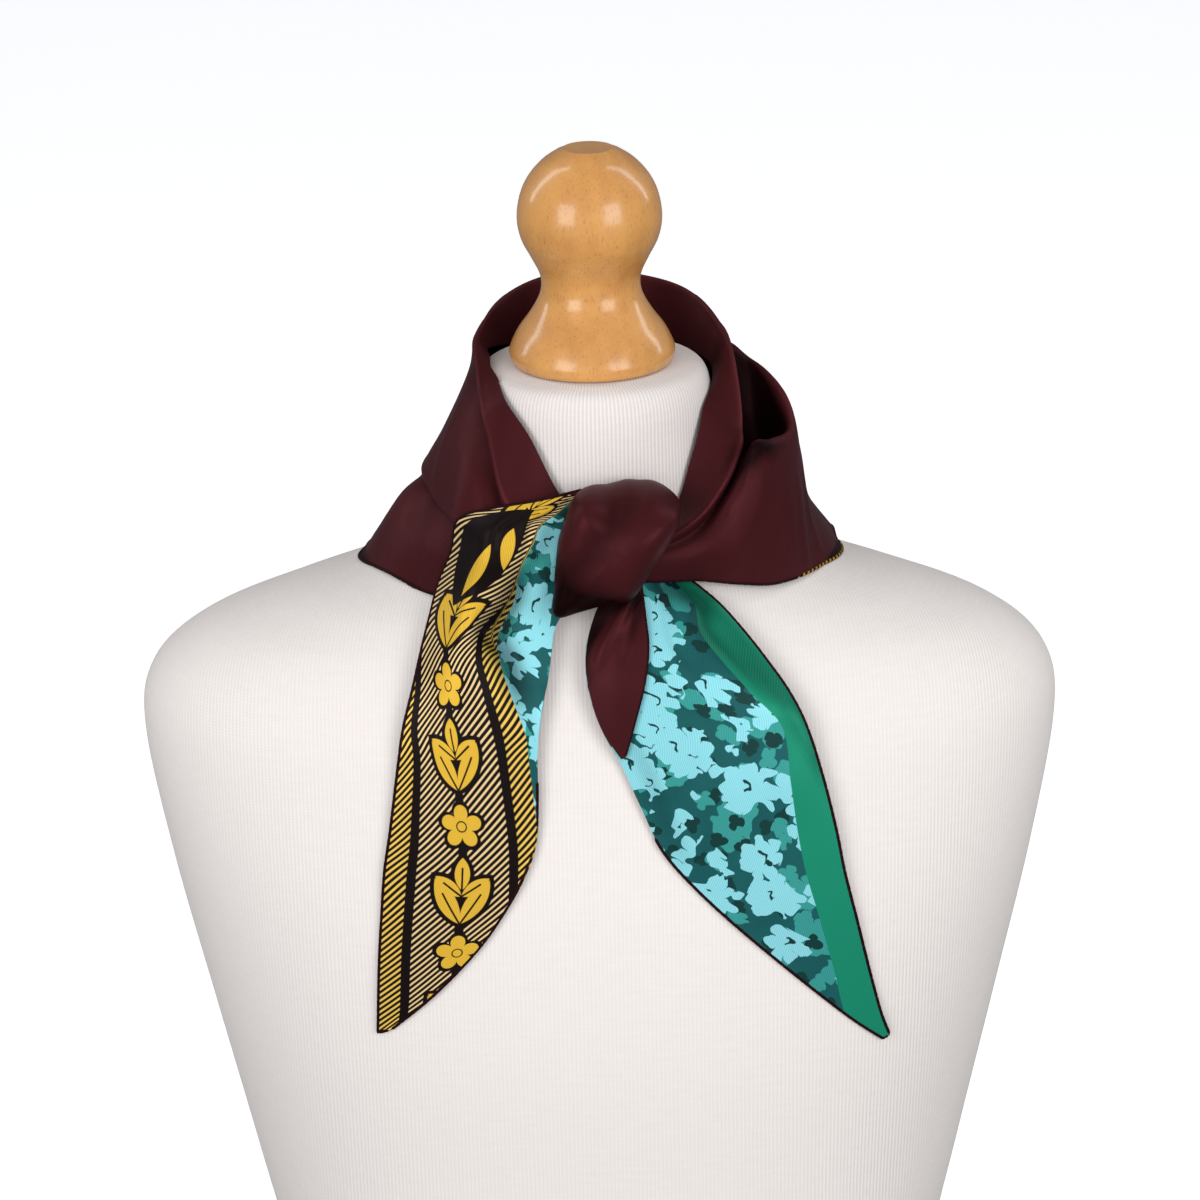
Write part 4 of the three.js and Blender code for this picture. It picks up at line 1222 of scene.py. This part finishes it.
def collar_grid(along, across):
    """The collar's surface, with its flat places."""
    turns = smooth([row["turn"] for row in COLLAR_ROWS], along + 1)
    sections = blend_grid(table_of(COLLAR_ROWS, COLLAR_PLACES), along, across)
    angle = np.radians(turns)[:, None]
    x, y = sections[..., 0] * np.sin(angle), -sections[..., 0] * np.cos(angle)
    grid = creased(np.stack([x, y, sections[..., 1]], axis=-1), COLLAR_CREASES)
    middle = lengths_along(grid)[:, across // 4]
    return grid, np.stack([middle[:, None] * np.ones(across + 1), lengths_across(grid)], axis=-1)


class SCARF_OT_collar(bpy.types.Operator):
    """Makes the scarf's collar, rolled round the neck, and its rolled hem"""

    bl_idname = "scarf.collar"
    bl_label = "Collar"

    def execute(self, context):
        scarf = context.scene.scarf_settings
        grid, flat = collar_grid(COLLAR_ALONG, COLLAR_ACROSS)
        silk = plain_silk("maroon twill", scarf.maroon, scarf)
        piece = cloth("scarf_collar", grid, flat, scarf.thickness / MM, [silk, silk], COLLAR_SHADES)
        finish_piece(piece, "maroon_twill", "collar_left", "collar_back", "collar_right")
        line, radius = grid[:, -1], scarf.hem / MM
        start, end = (int(share * COLLAR_ALONG) for share in HEM_STRIPED)
        plain, striped = hem_silk("dark hem", scarf, False), hem_silk("striped hem", scarf, True)
        dark = rolled_hem("collar_hem", [line[: start + 1], line[end:]], radius, plain)
        bright = rolled_hem("collar_hem_striped", [line[start : end + 1]], radius, striped)
        for hem in (dark, bright):
            finish_piece(hem, "maroon_twill")
        return {"FINISHED"}


def knot_layers():
    """The knot's surface as rings, from the lip behind its outline to its middle."""
    rows = table_of(KNOT_ROWS, KNOT_COLUMNS)
    looped = np.concatenate([rows[-1:], rows, rows[:2]])
    outline = blend(looped, np.linspace(1, len(rows) + 1, KNOT_SIDES + 1))[:-1]
    middle = np.array(KNOT_MIDDLE, float)
    angles = [k / KNOT_RINGS * math.pi / 2 for k in range(KNOT_RINGS)]
    bulge = [(math.cos(a) ** (2 / KNOT_SQUARE), math.sin(a) ** (2 / KNOT_SQUARE), 0) for a in angles]
    rings = []
    for share, rise, lip in [*KNOT_TURNED, *bulge]:
        x = middle[0] + (outline[:, 0] - middle[0]) * share
        z = middle[2] + (outline[:, 2] - middle[2]) * share
        edge = outline[:, 1] * (1 - lip) + outline[:, 3] * lip
        rings.append(np.stack([x, edge + (middle[1] - edge) * rise, z], axis=-1))
    return np.array(rings)


def knot_lift(rings, creases):
    """How far creases lift each point of the knot's rings, seen from the front; for shades, their painted
    shade.
    """
    lift = np.zeros(rings.shape[:2])
    flat = rings[..., [0, 2]] - (KNOT_MIDDLE[0], KNOT_MIDDLE[2])
    fades = end_fades(margin=0.05, power=0.5)
    for crease in creases:
        distance = np.linalg.norm(flat[:, :, None, :] - smooth(crease["over"], ROUTE_POINTS), axis=-1)
        depth = crease["depth"] * fades[distance.argmin(axis=-1)]
        lift += depth * np.exp(-((distance.min(axis=-1) / crease["width"]) ** 2))
    return lift


def knot_creased(rings):
    """The knot's rings, pressed in and lifted along its creases, and the depth of painted shade at each
    point.
    """
    out = unit(rings - (KNOT_MIDDLE[0], KNOT_MIDDLE[1] + KNOT_DEPTH, KNOT_MIDDLE[2]))
    front = np.clip((np.arange(len(rings)) - KNOT_EDGE) / KNOT_FADE, 0, 1)[:, None]
    lift = knot_lift(rings, KNOT_CREASES) * front
    return rings + out * lift[..., None], knot_lift(rings, KNOT_SHADES) - KNOT_SHADE * lift


def knot_shell(name, rings, flat, hollow, thickness, silk):
    """The knot's wrap as a shell, open behind, from its rings."""
    rows, columns = rings.shape[:2]
    wrapped = np.concatenate([rings[:, -2:-1], rings, rings[:, 1:2]], axis=1)
    out = -grid_normals(wrapped)[:, 1:-1] * thickness
    points, faces, places, depths = [], [], [], []
    for layer, flip in ((rings, False), (rings - out, True)):
        start = len(points)
        points += [*layer.reshape(-1, 3).tolist(), layer[-1, :-1].mean(axis=0).tolist()]
        places += [*flat.reshape(-1, 2).tolist(), flat[-1].mean(axis=0).tolist()]
        depths += [*hollow.ravel().tolist(), hollow[-1].mean()]
        faces += grid_faces(rows, columns, start, flip=flip)
        rim = [start + (rows - 1) * columns + j for j in range(columns)]
        middle = len(points) - 1
        faces += [[middle, a, b] if flip else [middle, b, a] for a, b in zip(rim, rim[1:])]
    inner = rows * columns + 1
    faces += [[j, j + 1, inner + j + 1, inner + j] for j in range(columns - 1)]
    mesh = build_mesh(name, points, faces, places, hollow=depths)
    join_seams(mesh)
    return new_object(name, mesh, [silk])


class SCARF_OT_knot(bpy.types.Operator):
    """Makes the half knot's puffed wrap"""

    bl_idname = "scarf.knot"
    bl_label = "Knot"

    def execute(self, context):
        scarf, made = context.scene.scarf_settings, bpy.data.materials
        parts = knot_creased(knot_layers())
        rings, hollow = (np.concatenate([part, part[:, :1]], axis=1) for part in parts)
        flat = np.stack([lengths_across(rings), lengths_along(rings)], axis=-1)
        silk = made["maroon twill"]
        piece = knot_shell("scarf_knot", rings, flat, hollow, scarf.thickness / MM, silk)
        finish_piece(piece, "maroon_twill", "knot_wrap")
        start, end = (int(share * KNOT_SIDES) for share in KNOT_HEM)
        line, radius = rings[KNOT_EDGE, start:end], scarf.hem * KNOT_HEM_SIZE / MM
        hem = finish_piece(rolled_hem("knot_hem", [line], radius, made["dark hem"]), "maroon_twill")
        return {"FINISHED"}


def tail_grid(rows, places, creases, hem_share):
    """A tail's surface and its flat places, measured from the tip along a share of its width."""
    printed = np.array([row["print"] for row in rows], float)
    table = np.concatenate([table_of(rows, places), printed[..., None]], axis=-1)
    sections = blend_grid(table, TAIL_ALONG, TAIL_ACROSS)
    tucks = smooth([row.get("tuck", 0) for row in rows], TAIL_ALONG + 1)
    sections[:, TUCK_START:, 3] += tucks[:, None] * TUCKED_FADE
    grid = creased(sections[..., :3], creases)
    travelled = lengths_along(grid)[:, int(hem_share * TAIL_ACROSS)]
    along = (travelled[-1] - travelled)[:, None] * np.ones(grid.shape[1])
    return grid, np.stack([along, sections[..., 3]], axis=-1)


class SCARF_OT_left_tail(bpy.types.Operator):
    """Makes the striped left tail, which turns over the collar and hangs in front"""

    bl_idname = "scarf.left_tail"
    bl_label = "Left tail"

    def execute(self, context):
        scarf, made = context.scene.scarf_settings, bpy.data.materials
        grid, flat = tail_grid(TAIL_LEFT_ROWS, TAIL_LEFT_PLACES, TAIL_LEFT_CREASES, 1 / 3)
        silks = [printed_silk("striped silk", scarf, "striped"), made["maroon twill"]]
        piece = cloth("scarf_tail_left", grid, flat, scarf.thickness / MM, silks, TAIL_LEFT_SHADES)
        finish_piece(piece, "striped_twill", "tail_left")
        edge = int(LEFT_EDGE_SHARE * (len(grid) - 1))
        lines = [np.concatenate([grid[:, 0], grid[-1, 1:]]), grid[edge:, -1]]
        hem = rolled_hem("tail_left_hem", lines, scarf.hem / MM, made["dark hem"])
        finish_piece(hem, "striped_twill")
        return {"FINISHED"}


class SCARF_OT_right_tail(bpy.types.Operator):
    """Makes the teal right tail and the strip of it that is turned over to the front"""

    bl_idname = "scarf.right_tail"
    bl_label = "Right tail"

    def execute(self, context):
        scarf, made = context.scene.scarf_settings, bpy.data.materials
        maroon, dark = made["maroon twill"], made["dark hem"]
        thickness, radius = scarf.thickness / MM, scarf.hem / MM
        grid, flat = tail_grid(TAIL_RIGHT_ROWS, TAIL_RIGHT_PLACES, TAIL_RIGHT_CREASES, 1)
        silks = [printed_silk("blossom silk", scarf, "green"), maroon]
        piece = cloth("scarf_tail_right", grid, flat, thickness, silks, TAIL_RIGHT_SHADES)
        finish_piece(piece, "teal_twill", "tail_right")
        turned = int(TURNED_SHARE * (len(grid) - 1))
        lines = [np.concatenate([grid[turned:, 0], grid[-1, 1:]]), grid[:, -1]]
        hem = finish_piece(rolled_hem("tail_right_hem", lines, radius, dark), "teal_twill")

        grid, flat = tail_grid(TURNOVER_ROWS, TURNOVER_PLACES, TURNOVER_CREASES, 1)
        strip = cloth("scarf_turnover", grid, flat, thickness, [maroon, maroon], TURNOVER_SHADES)
        finish_piece(strip, "maroon_twill", "tail_right_turnover")
        strip_hem = rolled_hem("turnover_hem", [grid[:, -1]], scarf.hem * TURNOVER_HEM_SIZE / MM, dark)
        finish_piece(strip_hem, "maroon_twill")

        return {"FINISHED"}


# ------------------------------------------------------------------ stage

# Lights, one on each side: azimuth and height about the cap in degrees (0 is the front), and distance
# and size in metres.
SOFTBOX = {"azimuth": 38, "height": 15, "distance": 2.2, "size": (1.05, 1.05)}
STRIP = {"azimuth": 112, "height": 38, "distance": 1.8, "size": (0.25, 2.0)}
FILL = {"height": 14, "spread": 110}  # its height above the horizon in front, and its softness, in degrees
AIM = 0.62  # height in metres that the lights are aimed at
CAMERA = {"aim": (0.0011, 0.0, 0.544), "distance": 2.0, "pitch": 20.5, "roll": 1.2, "view": 15.38}


def new_lamp(name, kind):
    """A lamp of the scene, and its light."""
    light = bpy.data.lights.new(name, kind)
    lamp = bpy.data.objects.new(name, light)
    bpy.context.scene.collection.objects.link(lamp)
    return lamp, light


def softbox(name, box, side, power):
    """An area light on the left (-1) or right (1), aimed at the scarf."""
    azimuth, height = math.radians(side * box["azimuth"]), math.radians(box["height"])
    level = math.cos(height)
    direction = Vector((math.sin(azimuth) * level, -math.cos(azimuth) * level, math.sin(height)))
    lamp, light = new_lamp(name, "AREA")
    light.shape, (light.size, light.size_y), light.energy = "RECTANGLE", box["size"], power
    lamp.location = Vector((0, 0, AIM)) + direction * box["distance"]
    lamp.rotation_euler = (-direction).to_track_quat("-Z", "Y").to_euler()


def front_fill(strength):
    """The broad soft light from the front."""
    lamp, light = new_lamp("front_fill", "SUN")
    light.energy, light.angle = strength, math.radians(FILL["spread"])
    lamp.rotation_euler = (math.radians(90 - FILL["height"]), 0, 0)
    lamp.visible_glossy = False


def place_camera(scene):
    """The camera: above the scarf and in front of it, looking a little down."""
    pitch, roll = math.radians(CAMERA["pitch"]), math.radians(CAMERA["roll"])
    forward = Vector((0, math.cos(pitch), -math.sin(pitch)))
    level = Vector((1, 0, 0))
    upright = level.cross(forward)
    right = level * math.cos(roll) - upright * math.sin(roll)
    up = upright * math.cos(roll) + level * math.sin(roll)
    data = bpy.data.cameras.new("camera")
    data.lens_unit, data.sensor_fit = "FOV", "HORIZONTAL"
    data.angle = math.radians(CAMERA["view"])
    data.clip_end = 100
    camera = bpy.data.objects.new("camera", data)
    matrix = Matrix((right, up, -forward)).transposed().to_4x4()
    matrix.translation = Vector(CAMERA["aim"]) - forward * CAMERA["distance"]
    camera.matrix_world = matrix
    scene.collection.objects.link(camera)
    scene.camera = camera


class SCARF_OT_stage(bpy.types.Operator):
    """Makes the pale floor, the light tent with its softboxes, and the camera"""

    bl_idname = "scarf.stage"
    bl_label = "Stage"

    def execute(self, context):
        scene, stage = context.scene, context.scene.stage_settings
        reach = stage.floor
        mesh = bpy.data.meshes.new("floor")
        corners = [(-reach, -reach, 0), (reach, -reach, 0), (reach, reach, 0), (-reach, reach, 0)]
        mesh.from_pydata(corners, [], [(0, 1, 2, 3)])
        floor = new_object("floor", mesh, [glowing_floor("pale floor", stage)])
        floor.visible_diffuse = floor.visible_glossy = floor.visible_shadow = False
        for name, box, power in (("softbox", SOFTBOX, stage.softbox), ("strip", STRIP, stage.strip)):
            softbox(f"{name}_left", box, -1, power)
            softbox(f"{name}_right", box, 1, power)
        front_fill(stage.fill)
        tent = scene.world or bpy.data.worlds.new("tent")
        scene.world = tent
        tent.use_nodes = True
        sky = tent.node_tree.nodes["Background"]
        sky.inputs["Color"].default_value = (*srgb(248, 250, 255), 1)
        sky.inputs["Strength"].default_value = stage.sky
        scene.view_settings.view_transform = "Standard"
        place_camera(scene)
        return {"FINISHED"}


# ------------------------------------------------------------------ add-on


class SCARF_PT_panel(bpy.types.Panel):
    """Lists the scarf's pieces and their settings"""

    bl_idname = "SCARF_PT_panel"
    bl_label = "Triangle scarf"
    bl_space_type = "VIEW_3D"
    bl_region_type = "UI"
    bl_category = "Scarf"

    def draw(self, context):
        for operator in OPERATORS:
            self.layout.operator(operator.bl_idname)
        for name, settings in SETTINGS.items():
            box = self.layout.box()
            for field in settings.__annotations__:
                box.prop(getattr(context.scene, name), field)


OPERATORS = (
    SCARF_OT_form,
    SCARF_OT_cap,
    SCARF_OT_collar,
    SCARF_OT_knot,
    SCARF_OT_left_tail,
    SCARF_OT_right_tail,
    SCARF_OT_stage,
)
SETTINGS = {"scarf_settings": ScarfSettings, "form_settings": FormSettings, "stage_settings": StageSettings}


def register():
    for cls in (*SETTINGS.values(), *OPERATORS, SCARF_PT_panel):
        bpy.utils.register_class(cls)
    for name, settings in SETTINGS.items():
        setattr(bpy.types.Scene, name, bpy.props.PointerProperty(type=settings))


def unregister():
    for name in SETTINGS:
        delattr(bpy.types.Scene, name)
    for cls in (SCARF_PT_panel, *reversed(OPERATORS), *reversed(tuple(SETTINGS.values()))):
        bpy.utils.unregister_class(cls)


def main():
    register()
    bpy.ops.scarf.form()
    bpy.ops.scarf.cap()
    bpy.ops.scarf.collar()
    bpy.ops.scarf.knot()
    bpy.ops.scarf.left_tail()
    bpy.ops.scarf.right_tail()
    bpy.ops.scarf.stage()


if __name__ == "__main__":
    main()
